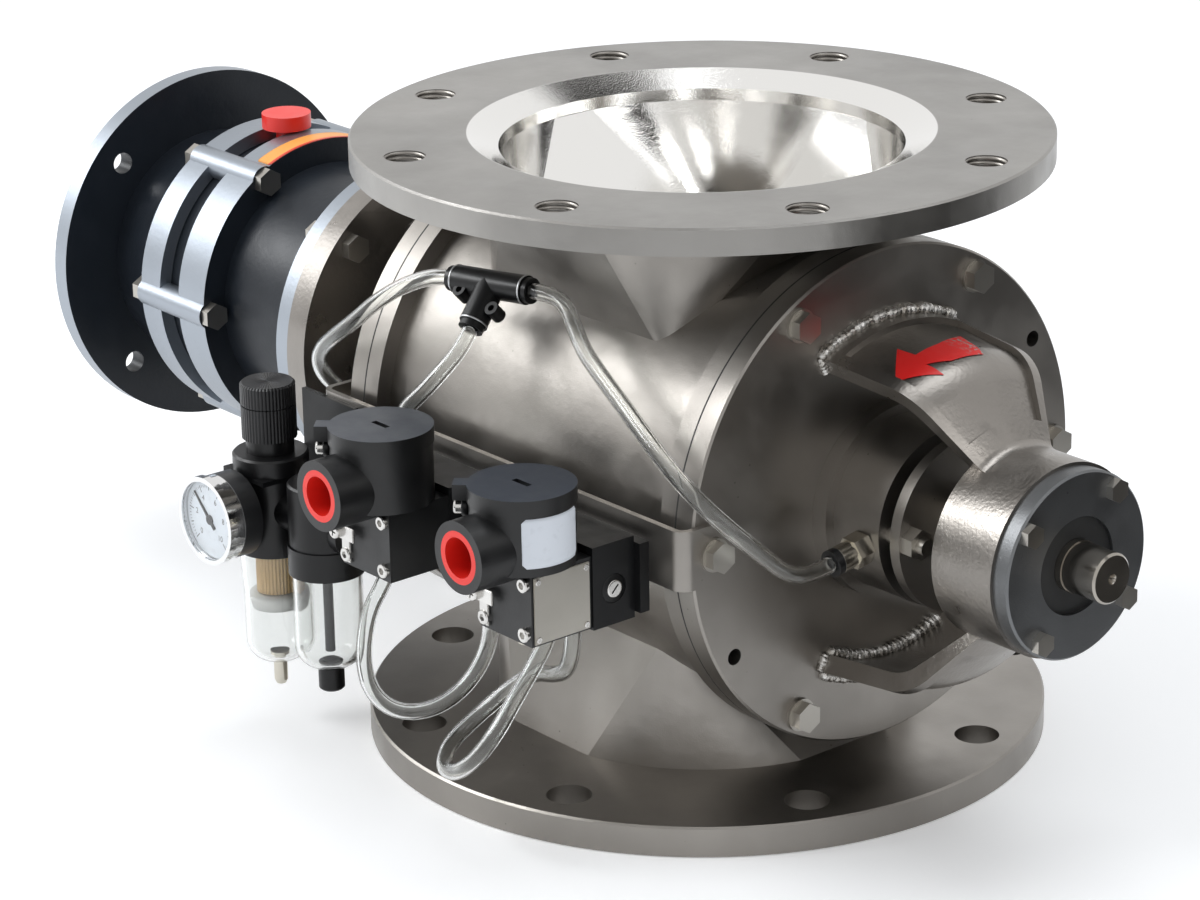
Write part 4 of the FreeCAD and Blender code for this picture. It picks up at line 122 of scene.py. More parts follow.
class Shader:
    """A material under construction, with short ways to add its nodes."""

    def __init__(self, name, colour, metallic, roughness, **inputs):
        self.material = bpy.data.materials.new(name)
        self.material.use_nodes = True
        self.tree = self.material.node_tree
        self.surface = self.tree.nodes["Principled BSDF"]
        inputs |= {"Base_Color": colour, "Metallic": metallic, "Roughness": roughness}
        for key, value in inputs.items():
            self.feed(self.surface.inputs[key.replace("_", " ")], value)
        self.place = self.make("ShaderNodeTexCoord", "Object", {})

    def feed(self, socket, value):
        """Gives an input a number, a vector, a colour or what another node makes."""
        if isinstance(value, bpy.types.NodeSocket):
            self.tree.links.new(value, socket)
        else:
            socket.default_value = (*value, 1) if isinstance(value, tuple) else value

    def make(self, kind, output, inputs, **settings):
        """Adds a node with these settings and inputs, and returns one of its outputs."""
        node = self.tree.nodes.new(kind)
        for key, value in settings.items():
            setattr(node, key, value)
        for key, value in inputs.items():
            self.feed(node.inputs[key], value)
        return node.outputs[output]

    def noise(self, scale, detail, stretch=None):
        """Noise of that many cells per metre, from 0 to 1, stretched along an axis on request."""
        place = self.place
        if stretch:
            place = self.make("ShaderNodeMapping", "Vector",
                              {"Vector": place, "Scale": Vector(stretch)})
        return self.make("ShaderNodeTexNoise", "Fac",
                         {"Vector": place, "Scale": scale, "Detail": detail})

    def cells(self, scale):
        """Distance to the nearest of scattered points, that many per metre."""
        return self.make("ShaderNodeTexVoronoi", "Distance",
                         {"Vector": self.place, "Scale": scale})

    def remap(self, source, low, high, out_low=0.0, out_high=1.0):
        return self.make("ShaderNodeMapRange", "Result",
                         {"Value": source, "From Min": low, "From Max": high,
                          "To Min": out_low, "To Max": out_high})

    def math(self, kind, *values):
        return self.make("ShaderNodeMath", "Value", dict(enumerate(values)), operation=kind)

    def mix(self, factor, first, second):
        """A colour between two colours or colour sockets."""
        return self.make("ShaderNodeMix", 2, {"Factor": factor, 6: first, 7: second},
                         data_type="RGBA")

    def inverse(self, factor):
        return self.math("SUBTRACT", 1.0, factor)

    def cloud(self, scale, detail, low=0.0, high=1.0):
        """Soft patches of noise, from one value to another."""
        return self.remap(self.noise(scale, detail), 0.3, 0.7, low, high)

    def source(self, name):
        """The socket that feeds an input of the surface so far."""
        return self.surface.inputs[name].links[0].from_socket

    def colour(self, source):
        self.feed(self.surface.inputs["Base Color"], source)

    def rough(self, source):
        self.feed(self.surface.inputs["Roughness"], source)

    def tint(self, factor, colour):
        """Puts another colour over the surface where the factor is 1."""
        self.colour(self.mix(factor, self.source("Base Color"), colour))

    def finish_where(self, factor, colour, rough):
        """Puts another colour and roughness over the surface where the factor is 1."""
        self.tint(factor, colour)
        kept = self.math("MULTIPLY", self.source("Roughness"), self.inverse(factor))
        self.rough(self.math("ADD", kept, self.math("MULTIPLY", factor, rough)))

    def bare_where(self, factor, colour, rough):
        """Shows bare metal through a coat where the factor is 1."""
        self.finish_where(factor, colour, rough)
        self.feed(self.surface.inputs["Metallic"], factor)

    def bump(self, height, distance, strength=1.0):
        """Adds a layer of relief, that many metres deep, over the layers before it."""
        inputs = {"Height": height, "Distance": distance, "Strength": strength}
        normal = self.surface.inputs["Normal"]
        if normal.is_linked:
            inputs["Normal"] = self.source("Normal")
        self.feed(normal, self.make("ShaderNodeBump", "Normal", inputs))

    def grain(self, scale, detail, distance, strength=1.0):
        """Adds relief made of noise."""
        self.bump(self.noise(scale, detail), distance, strength)

    def axis(self, index):
        """The object's own X, Y or Z."""
        return self.make("ShaderNodeSeparateXYZ", index, {"Vector": self.place})

    def normal(self, index):
        """X, Y or Z of the direction that the surface faces."""
        facing = self.make("ShaderNodeNewGeometry", "True Normal", {})
        return self.make("ShaderNodeSeparateXYZ", index, {"Vector": facing})

    def above(self, source, limit):
        """1 where the value is over the limit, with an edge half a millimetre soft."""
        return self.remap(source, limit - 0.00025, limit + 0.00025)

    def all_of(self, *factors):
        result = factors[0]
        for factor in factors[1:]:
            result = self.math("MULTIPLY", result, factor)
        return result

    def offsets(self, line):
        """How far each of two coordinates is from a line along the third axis."""
        return [self.math("SUBTRACT", self.axis(index), centre) for index, centre in line]

    def radius(self, line):
        """Distance from a line along the third axis."""
        a, b = self.offsets(line)
        squares = self.math("ADD", self.math("MULTIPLY", a, a), self.math("MULTIPLY", b, b))
        return self.math("SQRT", squares)

    def outward(self, line):
        """How far the surface faces away from that line, from -1 to 1."""
        a, b = (self.math("MULTIPLY", offset, self.normal(index))
                for offset, (index, _) in zip(self.offsets(line), line))
        return self.math("DIVIDE", self.math("ADD", a, b), self.radius(line))

    def facing_out(self):
        """1 on the round surfaces that face away from the shaft."""
        return self.above(self.outward(SHAFT_LINE), 0.6)

    def waves(self, count):
        """A sine wave that many times round the regulator's upright axis."""
        a, b = self.offsets(KNOB_LINE)
        angle = self.math("ARCTAN2", b, a)
        return self.math("SINE", self.math("MULTIPLY", angle, count))

    def between(self, source, low, high):
        return self.all_of(self.above(source, low), self.inverse(self.above(source, high)))


def scaled(colour, factor):
    return tuple(min(1.0, c * factor) for c in colour)


# The tubes' lengths and control points, from fitting to fitting.
TUBES = {
    "air_tube_far_purge": (0.197, [
        (-0.0557, -0.111, 0.2406), (-0.0645, -0.1127, 0.2401), (-0.075, -0.1168, 0.2365),
        (-0.0869, -0.1216, 0.2302), (-0.101, -0.1257, 0.2199), (-0.1146, -0.1276, 0.2083),
        (-0.1293, -0.1281, 0.198), (-0.1441, -0.1262, 0.1878), (-0.1565, -0.1206, 0.176),
        (-0.1634, -0.1109, 0.1626), (-0.1636, -0.0979, 0.1504), (-0.1609, -0.0846, 0.1434),
        (-0.159, -0.0722, 0.1416), (-0.159, -0.0627, 0.1431)]),
    "air_tube_near_purge": (0.256, [
        (-0.0068, -0.101, 0.2434), (0.0047, -0.0987, 0.244), (0.0182, -0.101, 0.2423),
        (0.0325, -0.1082, 0.2373), (0.0488, -0.1159, 0.2307), (0.0676, -0.1211, 0.224),
        (0.0868, -0.1254, 0.2168), (0.1057, -0.1294, 0.2086), (0.1245, -0.1316, 0.1989),
        (0.1416, -0.1294, 0.1872), (0.154, -0.121, 0.1743), (0.1604, -0.107, 0.16),
        (0.1603, -0.0909, 0.1457), (0.159, -0.0758, 0.141), (0.159, -0.0627, 0.1431)]),
    "air_tube_tee": (0.076, [
        (-0.0268, -0.1233, 0.2245), (-0.0248, -0.131, 0.2166), (-0.0276, -0.1406, 0.2071),
        (-0.0346, -0.1466, 0.1964), (-0.044, -0.1505, 0.1868), (-0.0485, -0.152, 0.1752),
        (-0.0485, -0.152, 0.164)]),
    "air_tube_valves": (0.213, [
        (-0.0568, -0.152, 0.118), (-0.0568, -0.152, 0.1061), (-0.0584, -0.1569, 0.0943),
        (-0.0591, -0.1647, 0.0835), (-0.0579, -0.1697, 0.0709), (-0.054, -0.1737, 0.0583),
        (-0.0447, -0.1772, 0.0488), (-0.032, -0.1769, 0.0434), (-0.019, -0.1722, 0.0429),
        (-0.0089, -0.1638, 0.0468), (-0.004, -0.1527, 0.0537), (-0.0018, -0.1431, 0.0637),
        (0.0016, -0.1392, 0.0767), (0.0067, -0.1418, 0.0895), (0.0156, -0.148, 0.0982),
        (0.0281, -0.152, 0.102), (0.04, -0.152, 0.102)]),
    "air_tube_loop": (0.268, [
        (0.0648, -0.152, 0.118), (0.0648, -0.152, 0.105), (0.0598, -0.1578, 0.0893),
        (0.0616, -0.1711, 0.0769), (0.0643, -0.1845, 0.0647), (0.0579, -0.193, 0.05),
        (0.0436, -0.1948, 0.039), (0.0264, -0.1884, 0.0353), (0.014, -0.1744, 0.0393),
        (0.0127, -0.1566, 0.047), (0.0218, -0.1442, 0.0605), (0.0376, -0.1403, 0.0733),
        (0.0566, -0.1438, 0.0789), (0.0734, -0.1492, 0.0878), (0.0813, -0.152, 0.105),
        (0.0813, -0.152, 0.118)]),
}


def mesh_object(name, verts, faces, smooth=True):
    mesh = bpy.data.meshes.new(name)
    mesh.from_pydata([tuple(v) for v in verts], [], faces)
    mesh.validate()
    if smooth:
        mesh.polygons.foreach_set("use_smooth", [True] * len(mesh.polygons))
    return place_object(name, mesh)


def dress(piece, material, body="housing"):
    """Gives a new piece its material and slot, and lets it ride on a body."""
    piece.data.materials.append(material)
    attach(piece, body)
    return piece


def around(u, v, turn):
    """The direction at an angle in the plane of two directions square to each other."""
    return math.cos(turn) * u + math.sin(turn) * v


def square_frame(axis):
    """An axis of length 1 and two directions square to it."""
    axis = Vector(axis).normalized()
    u = axis.orthogonal().normalized()
    return axis, u, axis.cross(u)


def ring_faces(rows, sides, start=0):
    """The faces between rings of points that follow each other."""
    faces = []
    for j in range(rows - 1):
        for k in range(sides):
            a, b = start + j * sides + k, start + j * sides + (k + 1) % sides
            faces.append((a, b, b + sides, a + sides))
    return faces


def end_faces(rows, sides):
    """The faces that close the first and the last ring."""
    last = (rows - 1) * sides
    return [tuple(range(sides))[::-1], tuple(range(last, last + sides))]


def frames_along(points):
    """A point, and two directions square to the line there, for each point of a line."""
    result, side = [], None
    for i, point in enumerate(points):
        ahead = (points[min(i + 1, len(points) - 1)] - points[max(i - 1, 0)]).normalized()
        if side is None:
            side = ahead.orthogonal().normalized()
        side = (side - ahead * side.dot(ahead)).normalized()
        result.append((point, side, ahead.cross(side)))
    return result


def mesh_of_curve(curve):
    """The mesh that a curve or a text makes, which is then removed itself."""
    holder = place_object(curve.name, curve)
    bpy.context.view_layer.update()
    mesh = bpy.data.meshes.new_from_object(holder)
    bpy.data.objects.remove(holder)
    bpy.data.curves.remove(curve)
    return mesh


def spline_line(points, name):
    """The points along a smooth spline that has the given control points."""
    curve = bpy.data.curves.new(name, "CURVE")
    curve.dimensions = "3D"
    curve.resolution_u = 10
    spline = curve.splines.new("NURBS")
    spline.points.add(len(points) - 1)
    for target, place in zip(spline.points, points):
        target.co = (*place, 1)
    spline.order_u = 3
    spline.use_endpoint_u = True
    mesh = mesh_of_curve(curve)
    line = [v.co.copy() for v in mesh.vertices]
    bpy.data.meshes.remove(mesh)
    return line


def hollow_tube(name, line, outer, inner, sides=28):
    """A tube with a wall, swept along a line."""
    verts = []
    for radius in (outer, inner):
        for point, u, v in frames_along(line):
            for k in range(sides):
                verts.append(point + radius * around(u, v, 2 * math.pi * k / sides))
    wall = len(line) * sides
    faces = ring_faces(len(line), sides)
    faces += [face[::-1] for face in ring_faces(len(line), sides, wall)]
    for a in range(sides):
        b = (a + 1) % sides
        faces.append((b, a, a + wall, b + wall))
        c, d = a + wall - sides, b + wall - sides
        faces.append((c, d, d + wall, c + wall))
    return mesh_object(name, verts, faces)


def clear_tube_material():
    """Slightly milky tube, clear across and denser towards its edges."""
    shader = Shader("clear_tube", (0.93, 0.94, 0.93), 0.0, 0.06,
                    IOR=1.36, Transmission_Weight=1.0)
    shader.rough(shader.cloud(90, 3, 0.05, 0.12))
    shader.grain(60, 2, 0.0002, 0.1)
    return shader.material


def add_tubes():
    material = clear_tube_material()
    for name, (length, points) in TUBES.items():
        line = spline_line(points, name + "_line")
        piece = hollow_tube(name + "_piece", line, TUBE_DIAMETER / 2, TUBE_BORE / 2)
        dress(piece, material)
        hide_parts(name)


add_tubes()


def stainless_steel(name, colour, grain=0.00005, patch=0.12, rough=(0.3, 0.44)):
    """Bead-blasted stainless: an even satin with soft patches, a fine tooth and specks."""
    shader = Shader(name, colour, 1.0, 0.4)
    cloud = shader.remap(shader.noise(12, 5), 0.32, 0.68)
    tone = shader.mix(cloud, scaled(colour, 1 - patch), scaled(colour, 1 + patch))
    streak = shader.remap(shader.noise(9, 4, (1, 1, 0.25)), 0.52, 0.75)
    tone = shader.mix(streak, tone, scaled(colour, 0.86))
    speck = shader.remap(shader.cells(160), 0.03, 0.09, 1.0, 0.0)
    rare = shader.remap(shader.noise(30, 2), 0.58, 0.66)
    tone = shader.mix(shader.math("MULTIPLY", speck, rare), tone, scaled(colour, 0.45))
    shader.colour(tone)
    shader.rough(shader.cloud(40, 5, *rough))
    shader.grain(1500, 2, grain)
    shader.grain(50, 3, 0.0004, 0.25)
    return shader


def polished_throat(shader, factor):
    """Turns the masked part of a blasted shader into a mirror finish."""
    shader.finish_where(factor, MIRROR, 0.035)
    relief = shader.source("Normal").node
    shader.feed(relief.inputs["Strength"], shader.inverse(factor))


def housing_material():
    shader = stainless_steel("stainless_housing", STEEL)
    inward = shader.above(shader.math("MULTIPLY", shader.outward(PIPE_LINE), -1.0), 0.02)
    inside = shader.inverse(shader.above(shader.radius(PIPE_LINE), THROAT_LIMIT))
    upper = shader.above(shader.axis(2), THROAT_BOTTOM)
    polished_throat(shader, shader.all_of(inward, inside, upper))
    return shader.material


def inlet_material():
    shader = stainless_steel("stainless_inlet", STEEL_FLANGE, rough=(0.3, 0.42))
    polished_throat(shader, shader.inverse(shader.above(shader.radius(PIPE_LINE), LIP_RADIUS)))
    return shader.material


def cast_material(name, colour):
    """Blasted casting: an orange-peel skin with darker patches in it."""
    shader = Shader(name, colour, 1.0, 0.4)
    cloud = shader.cloud(18, 6)
    tone = shader.mix(cloud, scaled(colour, 0.86), scaled(colour, 1.12))
    smut = shader.remap(shader.noise(45, 5), 0.6, 0.78)
    shader.colour(shader.mix(smut, tone, scaled(colour, 0.72)))
    shader.rough(shader.cloud(60, 4, 0.27, 0.38))
    shader.grain(520, 2, 0.0003, 0.42)
    shader.grain(90, 3, 0.0005, 0.25)
    return shader.material


def lid_paint_and_painted_sheen():
    """The coil cases' lids: black paint, with a painted blue-grey sheen on their tops that stands
    in for the reflection of the light from above.
    """
    shader = coated_shader("lid_paint_and_painted_sheen", (0.0035, 0.0037, 0.0042), 0.4, 0.00004, 900)
    # Painted sheen: the flat tops above the lid level are tinted a lighter blue-grey, a painted
    # reflection of the light from above.
    top = shader.all_of(shader.above(shader.normal(2), 0.9),
                        shader.above(shader.axis(2), LID_LEVEL))
    shader.tint(top, (0.03, 0.037, 0.05))
    return shader.material


def collar_material():
    """Release collars: black rings, with a nickel sleeve on the two purge fittings."""
    shader = coated_shader("collar", (0.004, 0.004, 0.0045), 0.34, 0.00002, 1200)
    near = shader.inverse(shader.above(shader.radius(SHAFT_LINE), PURGE_COLLAR_RADIUS))
    shader.bare_where(near, (0.55, 0.52, 0.45), 0.2)
    return shader.material


def turned_steel(name, colour, roughness):
    """Machined steel with fine tool rings square to the shaft."""
    shader = Shader(name, colour, 1.0, roughness)
    tone = shader.cloud(25, 3)
    shader.colour(shader.mix(tone, scaled(colour, 0.92), scaled(colour, 1.06)))
    shader.rough(shader.cloud(80, 3, roughness - 0.04, roughness + 0.05))
    shader.bump(shader.noise(60, 2, (20, 1, 1)), 0.00002)
    return shader.material


def plain_metal(name, colour, roughness, grain=0.00001, patch=0.1, cells=70):
    shader = Shader(name, colour, 1.0, roughness)
    tone = shader.cloud(cells, 3)
    shader.colour(shader.mix(tone, scaled(colour, 1 - patch), scaled(colour, 1 + patch)))
    shader.rough(shader.cloud(cells, 2, roughness * 0.9, roughness * 1.1))
    shader.grain(900, 2, grain)
    return shader.material


def coated_shader(name, colour, roughness, grain, cells, speck=0.1, **inputs):
    """Paint, powder coat or moulded plastic, with its own grain size."""
    shader = Shader(name, colour, 0.0, roughness, **inputs)
    light = tuple(c * (1 + speck) + 0.002 for c in colour)
    shader.colour(shader.mix(shader.cloud(30, 4), colour, light))
    shader.rough(shader.cloud(80, 4, roughness * 0.85, roughness * 1.15))
    shader.grain(cells, 3, grain)
    return shader


def coated(*settings, **inputs):
    return coated_shader(*settings, **inputs).material


def gear_material(name, edges, posts=()):
    """Dark paint on the gear unit, with bright edges on its turned rims and its posts.

    Each is a span of X and a radius: an edge is bare on its round surface from there
    outward, and a post on all sides.
    """
    shader = coated_shader(name, (0.0075, 0.0105, 0.0155), 0.36, 0.00008, 420, 0.25,
                           Specular_IOR_Level=0.4)
    shader.grain(140, 3, 0.0003, 0.2)
    total = None
    for low, high, radius in (*edges, *posts):
        factor = shader.all_of(shader.between(shader.axis(0), low, high),
                               shader.above(shader.radius(SHAFT_LINE), radius))
        if (low, high, radius) in edges:
            factor = shader.all_of(factor, shader.facing_out())
        total = factor if total is None else shader.math("MAXIMUM", total, factor)
    shader.bare_where(total, RIM_METAL, 0.4)
    return shader.material


def gauge_material():
    """The gauge's case: a polished bezel in front of black sheet steel."""
    shader = coated_shader("gauge_case", (0.012, 0.012, 0.013), 0.35, 0.00003, 700)
    front = shader.math("MULTIPLY", shader.axis(1), -1.0)
    shader.bare_where(shader.above(front, BEZEL_DEPTH), (0.72, 0.72, 0.72), 0.09)
    return shader.material


def knob_material():
    """Black plastic with shallow upright ribs round the knob."""
    shader = coated_shader("knob_plastic", (0.005, 0.005, 0.006), 0.4, 0.00002, 900,
                           Specular_IOR_Level=0.35)
    shader.bump(shader.math("ABSOLUTE", shader.waves(24.0)), 0.0005, 0.7)
    return shader.material


def bowl_material():
    """Clear moulded plastic with faint waves in its surface."""
    shader = Shader("clear_bowl", (0.93, 0.94, 0.93), 0.0, 0.03, IOR=1.45, Transmission_Weight=1.0)
    shader.rough(shader.cloud(60, 3, 0.03, 0.08))
    shader.grain(35, 2, 0.0002, 0.15)
    return shader.material


def sintered_material():
    """The filter element: pressed bronze grains with fine upright pleats."""
    shader = coated_shader("sintered", (0.62, 0.42, 0.2), 0.75, 0.0002, 1500, 0.3)
    shader.bump(shader.waves(36.0), 0.0006, 0.6)
    return shader.material


def weld_material():
    shader = Shader("weld", (0.5, 0.49, 0.47), 1.0, 0.3)
    tone = shader.remap(shader.noise(160, 4), 0.35, 0.65)
    shader.colour(shader.mix(tone, (0.3, 0.28, 0.25), (0.66, 0.65, 0.63)))
    shader.rough(shader.cloud(400, 3, 0.18, 0.42))
    shader.grain(700, 3, 0.0006, 0.7)
    return shader.material


stainless = stainless_steel("stainless", STEEL).material
cap_steel = stainless_steel("cap_steel", (0.17, 0.175, 0.18), 0.00008, 0.16, (0.34, 0.46)).material
nickel = plain_metal("nickel", (0.58, 0.55, 0.48), 0.2)
black_metal = coated("black_metal", (0.0035, 0.0037, 0.0042), 0.42, 0.00003, 1400,
                     Specular_IOR_Level=0.28)
rubber = coated("rubber", (0.012, 0.012, 0.012), 0.6, 0.00002, 900)
clear_bowl = bowl_material()
weld = weld_material()
screw_steel = plain_metal("screw_steel", (0.6, 0.59, 0.57), 0.22)

output_paint = gear_material("gear_paint_output", [(-0.2375, -0.2235, 0.0893),
                                                   (-0.3265, -0.3135, 0.0815)])
case_paint = gear_material("gear_paint_case", [(-0.3385, -0.3255, 0.0815),
                                               (-0.3655, -0.3555, 0.0815)],
                           [(-0.3565, -0.3375, 0.0757)])
input_paint = gear_material("gear_paint_input", [(-0.3745, -0.3645, 0.0815),
                                                 (-0.4355, -0.4235, 0.099)])

SLOT_MATERIALS = {
    "stainless": stainless,
    "cast_stainless": cast_material("cast_stainless", (0.27, 0.252, 0.232)),
    "fastener": plain_metal("fastener", (0.42, 0.4, 0.365), 0.3, 0.000001, 0.04, 30),
    "gasket": rubber,
    "packing": coated("packing", (0.5, 0.46, 0.38), 0.85, 0.0004, 500),
    "seal_rubber": rubber,
    "bearing_steel": plain_metal("bearing_steel", (0.5, 0.5, 0.5), 0.18),
    "shaft_steel": turned_steel("shaft_steel", (0.36, 0.335, 0.3), 0.22),
    "gear_paint": output_paint,
    "red_plastic": coated("red_plastic", (0.72, 0.02, 0.012), 0.36, 0.00001, 900),
    "black_metal": black_metal,
    "black_plastic": coated("black_plastic", (0.004, 0.004, 0.0045), 0.34, 0.00002, 1200,
                            Specular_IOR_Level=0.35),
    "clear_bowl": clear_bowl,
    "clear_tube": clear_bowl,
    "sintered": sintered_material(),
    "nickel": nickel,
    "gauge_chrome": nickel,
}
NODE_MATERIALS = {
    "housing_body": housing_material(),
    "inlet_flange": inlet_material(),
    "near_bearing_cap": cap_steel,
    "pin_gear_housing": case_paint,
    "input_housing": input_paint,
    "gauge_case": gauge_material(),
    "regulator_knob": knob_material(),
    "fitting_collars": collar_material(),
    "valve_1_operator": lid_paint_and_painted_sheen(),
    "valve_2_operator": lid_paint_and_painted_sheen(),
}

for part in frame["record"]["subparts"]:
    mesh = nodes[part["node"]].data
    mesh.materials.clear()
    mesh.materials.append(NODE_MATERIALS.get(part["node"], SLOT_MATERIALS[part["material_slot"]]))


def on_shaft(x, radius, angle):
    """A point at a place along the shaft, a radius and an angle in degrees from +Y."""
    turn = math.radians(angle)
    return Vector((x, radius * math.cos(turn), AXIS_HEIGHT + radius * math.sin(turn)))


def weld_bead(name, line, radius, seed):
    """A weld seam: a bead of overlapping ripples that wanders a little along its line."""
    chance = random.Random(seed)
    pitch, step = radius * 0.95, radius * 0.16
    points, travelled = [], [0.0]
    for a, b in zip(line, line[1:]):
        travelled.append(travelled[-1] + (b - a).length)
    total = travelled[-1]
    count = int(total / step)
    for i in range(count + 1):
        s = total * i / count
        k = next(j for j in range(1, len(line)) if travelled[j] >= s - 1e-9)
        share = (s - travelled[k - 1]) / (travelled[k] - travelled[k - 1])
        points.append(line[k - 1].lerp(line[k], share))
    sizes = [chance.uniform(0.78, 1.12) for _ in range(int(total / pitch) + 3)]
    verts, sides = [], 14
    for i, (point, u, v) in enumerate(frames_along(points)):
        s = total * i / count
        ripple = (s / pitch) % 1.0
        size = sizes[int(s / pitch)]
        end = min(1.0, s / (radius * 0.9) + 0.35, (total - s) / (radius * 0.9) + 0.35)
        swell = radius * size * end * (0.72 + 0.3 * math.sqrt(max(0.0, 1 - (2 * ripple - 1) ** 2)))
        for k in range(sides):
            spot = point + swell * around(u, v, 2 * math.pi * k / sides)
            rough = noise.noise(spot * 700 + Vector((seed, 0, 0))) * radius * 0.18
            verts.append(spot + rough * (spot - point).normalized())
    faces = ring_faces(len(points), sides) + end_faces(len(points), sides)
    dress(mesh_object(name, verts, faces), weld)


# Each seam along a bracket's feet: radius, first angle, last angle and the bead's radius.
WELD_SEAMS = {
    "upper_outside": (0.0898, 61.5, 119.5, 0.0031), "upper_inside": (0.0788, 66, 114, 0.0026),
    "lower_outside": (0.0898, 241.5, 298.5, 0.0026), "lower_inside": (0.0788, 240.5, 296, 0.0034),
}
# The short seams down the feet's sides.
SIDE_ANGLES = (60.4, 119.6, 240.4, 299.6)
SIDE_START, SIDE_LENGTH, SIDE_BEAD = 0.0795, 0.0098, 0.0022


def add_welds():
    """The seams between both bearing brackets and the end covers."""
    for side, label in ((1, "near"), (-1, "far")):
        x = side * (COVER_FACE + 0.001)
        for number, (name, (radius, first, last, size)) in enumerate(WELD_SEAMS.items()):
            line = [on_shaft(x, radius, first + (last - first) * i / 24) for i in range(25)]
            weld_bead("%s_weld_%s" % (label, name), line, size, 11 * number + side)
        for number, angle in enumerate(SIDE_ANGLES):
            line = [on_shaft(x, SIDE_START + SIDE_LENGTH * i / 6, angle) for i in range(7)]
            weld_bead("%s_weld_side_%d" % (label, number + 1), line, SIDE_BEAD, 57 + number)


add_welds()


def fine_polygon(outline, step):
    """A polygon as a fine grid of triangles: points in the plane and faces."""
    curve = bpy.data.curves.new("fine", "CURVE")
    curve.dimensions = "2D"
    curve.fill_mode = "BOTH"
    spline = curve.splines.new("POLY")
    spline.points.add(len(outline) - 1)
    for target, place in zip(spline.points, outline):
        target.co = (place[0], place[1], 0, 1)
    spline.use_cyclic_u = True
    mesh = mesh_of_curve(curve)
    work = bmesh.new()
    work.from_mesh(mesh)
    bmesh.ops.triangulate(work, faces=work.faces[:])
    for _ in range(7):
        long = [e for e in work.edges if e.calc_length() > step]
        if not long:
            break
        bmesh.ops.subdivide_edges(work, edges=long, cuts=1)
        bmesh.ops.triangulate(work, faces=[f for f in work.faces if len(f.verts) > 3])
    work.verts.ensure_lookup_table()
    verts = [v.co.copy() for v in work.verts]
    faces = [tuple(v.index for v in f.verts) for f in work.faces]
    work.free()
    bpy.data.meshes.remove(mesh)
    return verts, faces


# The direction arrow's corners: places along the shaft and angles from +Y in degrees.
ARROW_OUTLINE = [(0.1712, 115.0), (0.1541, 101.9), (0.1645, 100.9), (0.1638, 95.5), (0.1635, 90.7),
                 (0.1613, 84.0), (0.1593, 77.5), (0.1702, 79.3), (0.1808, 81.7), (0.1800, 88.5),
                 (0.1794, 95.4), (0.1741, 102.9), (0.1842, 102.3)]


def add_arrow():
    """The red mark for the direction of turning, laid on the upper arm."""
    arm = nodes["near_bearing_bracket"].data
    tree = BVHTree.FromPolygons([v.co.copy() for v in arm.vertices],
                                [tuple(p.vertices) for p in arm.polygons])
    flat = [(x, math.radians(a) * ARM_RADIUS) for x, a in ARROW_OUTLINE]
    verts, faces = fine_polygon(flat, 0.0016)
    placed = []
    for v in verts:
        angle = math.degrees(v.y / ARM_RADIUS)
        start = on_shaft(v.x, 0.12, angle)
        inward = (on_shaft(v.x, 0.05, angle) - start).normalized()
        spot = tree.ray_cast(start, inward)[0]
        placed.append(spot - inward * 0.0004)
    piece = mesh_object("direction_arrow", placed, faces)
    shader = coated_shader("arrow_red", (0.75, 0.012, 0.01), 0.42, 0.00004, 900)
    worn = shader.all_of(shader.remap(shader.noise(520, 4), 0.5, 0.62),
                         shader.remap(shader.axis(1), 0.002, 0.011))
    shader.tint(worn, (0.42, 0.32, 0.3))
    dress(piece, shader.material)


add_arrow()


def band(name, radius, low, high, first, last, along, centre, thickness, corner):
    """A thin curved plate on a round surface, between two angles and two heights.

    along is "x" for a surface round the shaft and "z" for an upright cylinder.
    """
    steps, rows = 40, 12
    verts, faces = [], []
    middle = (first + last) / 2
    half_turn = (last - first) / 2
    for layer in (radius + thickness, radius):
        for j in range(rows + 1):
            level = low + (high - low) * j / rows
            edge = min(level - low, high - level)
            inset = 0.0
            if edge < corner:
                inset = corner - math.sqrt(max(0.0, corner ** 2 - (corner - edge) ** 2))
            half = half_turn - math.degrees(inset / radius)
            for i in range(steps + 1):
                turn = math.radians(middle - half + 2 * half * i / steps)
                a, b = layer * math.cos(turn), layer * math.sin(turn)
                if along == "x":
                    verts.append(Vector((level, centre[0] + a, centre[1] + b)))
                else:
                    verts.append(Vector((centre[0] + a, centre[1] + b, level)))
    wide = steps + 1
    layer_size = wide * (rows + 1)
    for j in range(rows):
        for i in range(steps):
            a = j * wide + i
            quad = (a, a + 1, a + 1 + wide, a + wide)
            if along == "x":
                quad = quad[::-1]
            faces.append(quad)
            faces.append(tuple(q + layer_size for q in quad[::-1]))
    rim = (list(range(wide)) + [j * wide + steps for j in range(1, rows + 1)]
           + [rows * wide + i for i in range(steps - 1, -1, -1)]
           + [j * wide for j in range(rows - 1, 0, -1)])
    for a, b in zip(rim, rim[1:] + rim[:1]):
        faces.append((a, a + layer_size, b + layer_size, b))
    return mesh_object(name, verts, faces)


def paper(name, colour, roughness=0.4):
    shader = coated_shader(name, colour, roughness, 0.00003, 600, 0.0)
    shader.tint(shader.remap(shader.noise(220, 4), 0.55, 0.8), scaled(colour, 0.88))
    return shader.material


def add_blank_labels():
    """The orange plate over the gear unit's rim and the white one on a coil case."""
    plate = band("rim_plate", RIM_RADIUS, -0.3262, -0.3142, 66, 115, "x", (0.0, AXIS_HEIGHT),
                 0.0003, 0.0015)
    shader = coated_shader("orange_plate", (0.85, 0.36, 0.07), 0.4, 0.00003, 600, 0.05)
    shader.tint(shader.above(shader.axis(0), -0.3162), (0.7, 0.06, 0.025))
    dress(plate, shader.material)
    x = VALVE_AXES[2]
    label = band("coil_label", 0.02425, 0.1612, 0.1848, -40, 37, "z", (x, COIL_LINE),
                 0.0002, 0.002)
    dress(label, paper("label_white", (0.72, 0.76, 0.82)))


add_blank_labels()


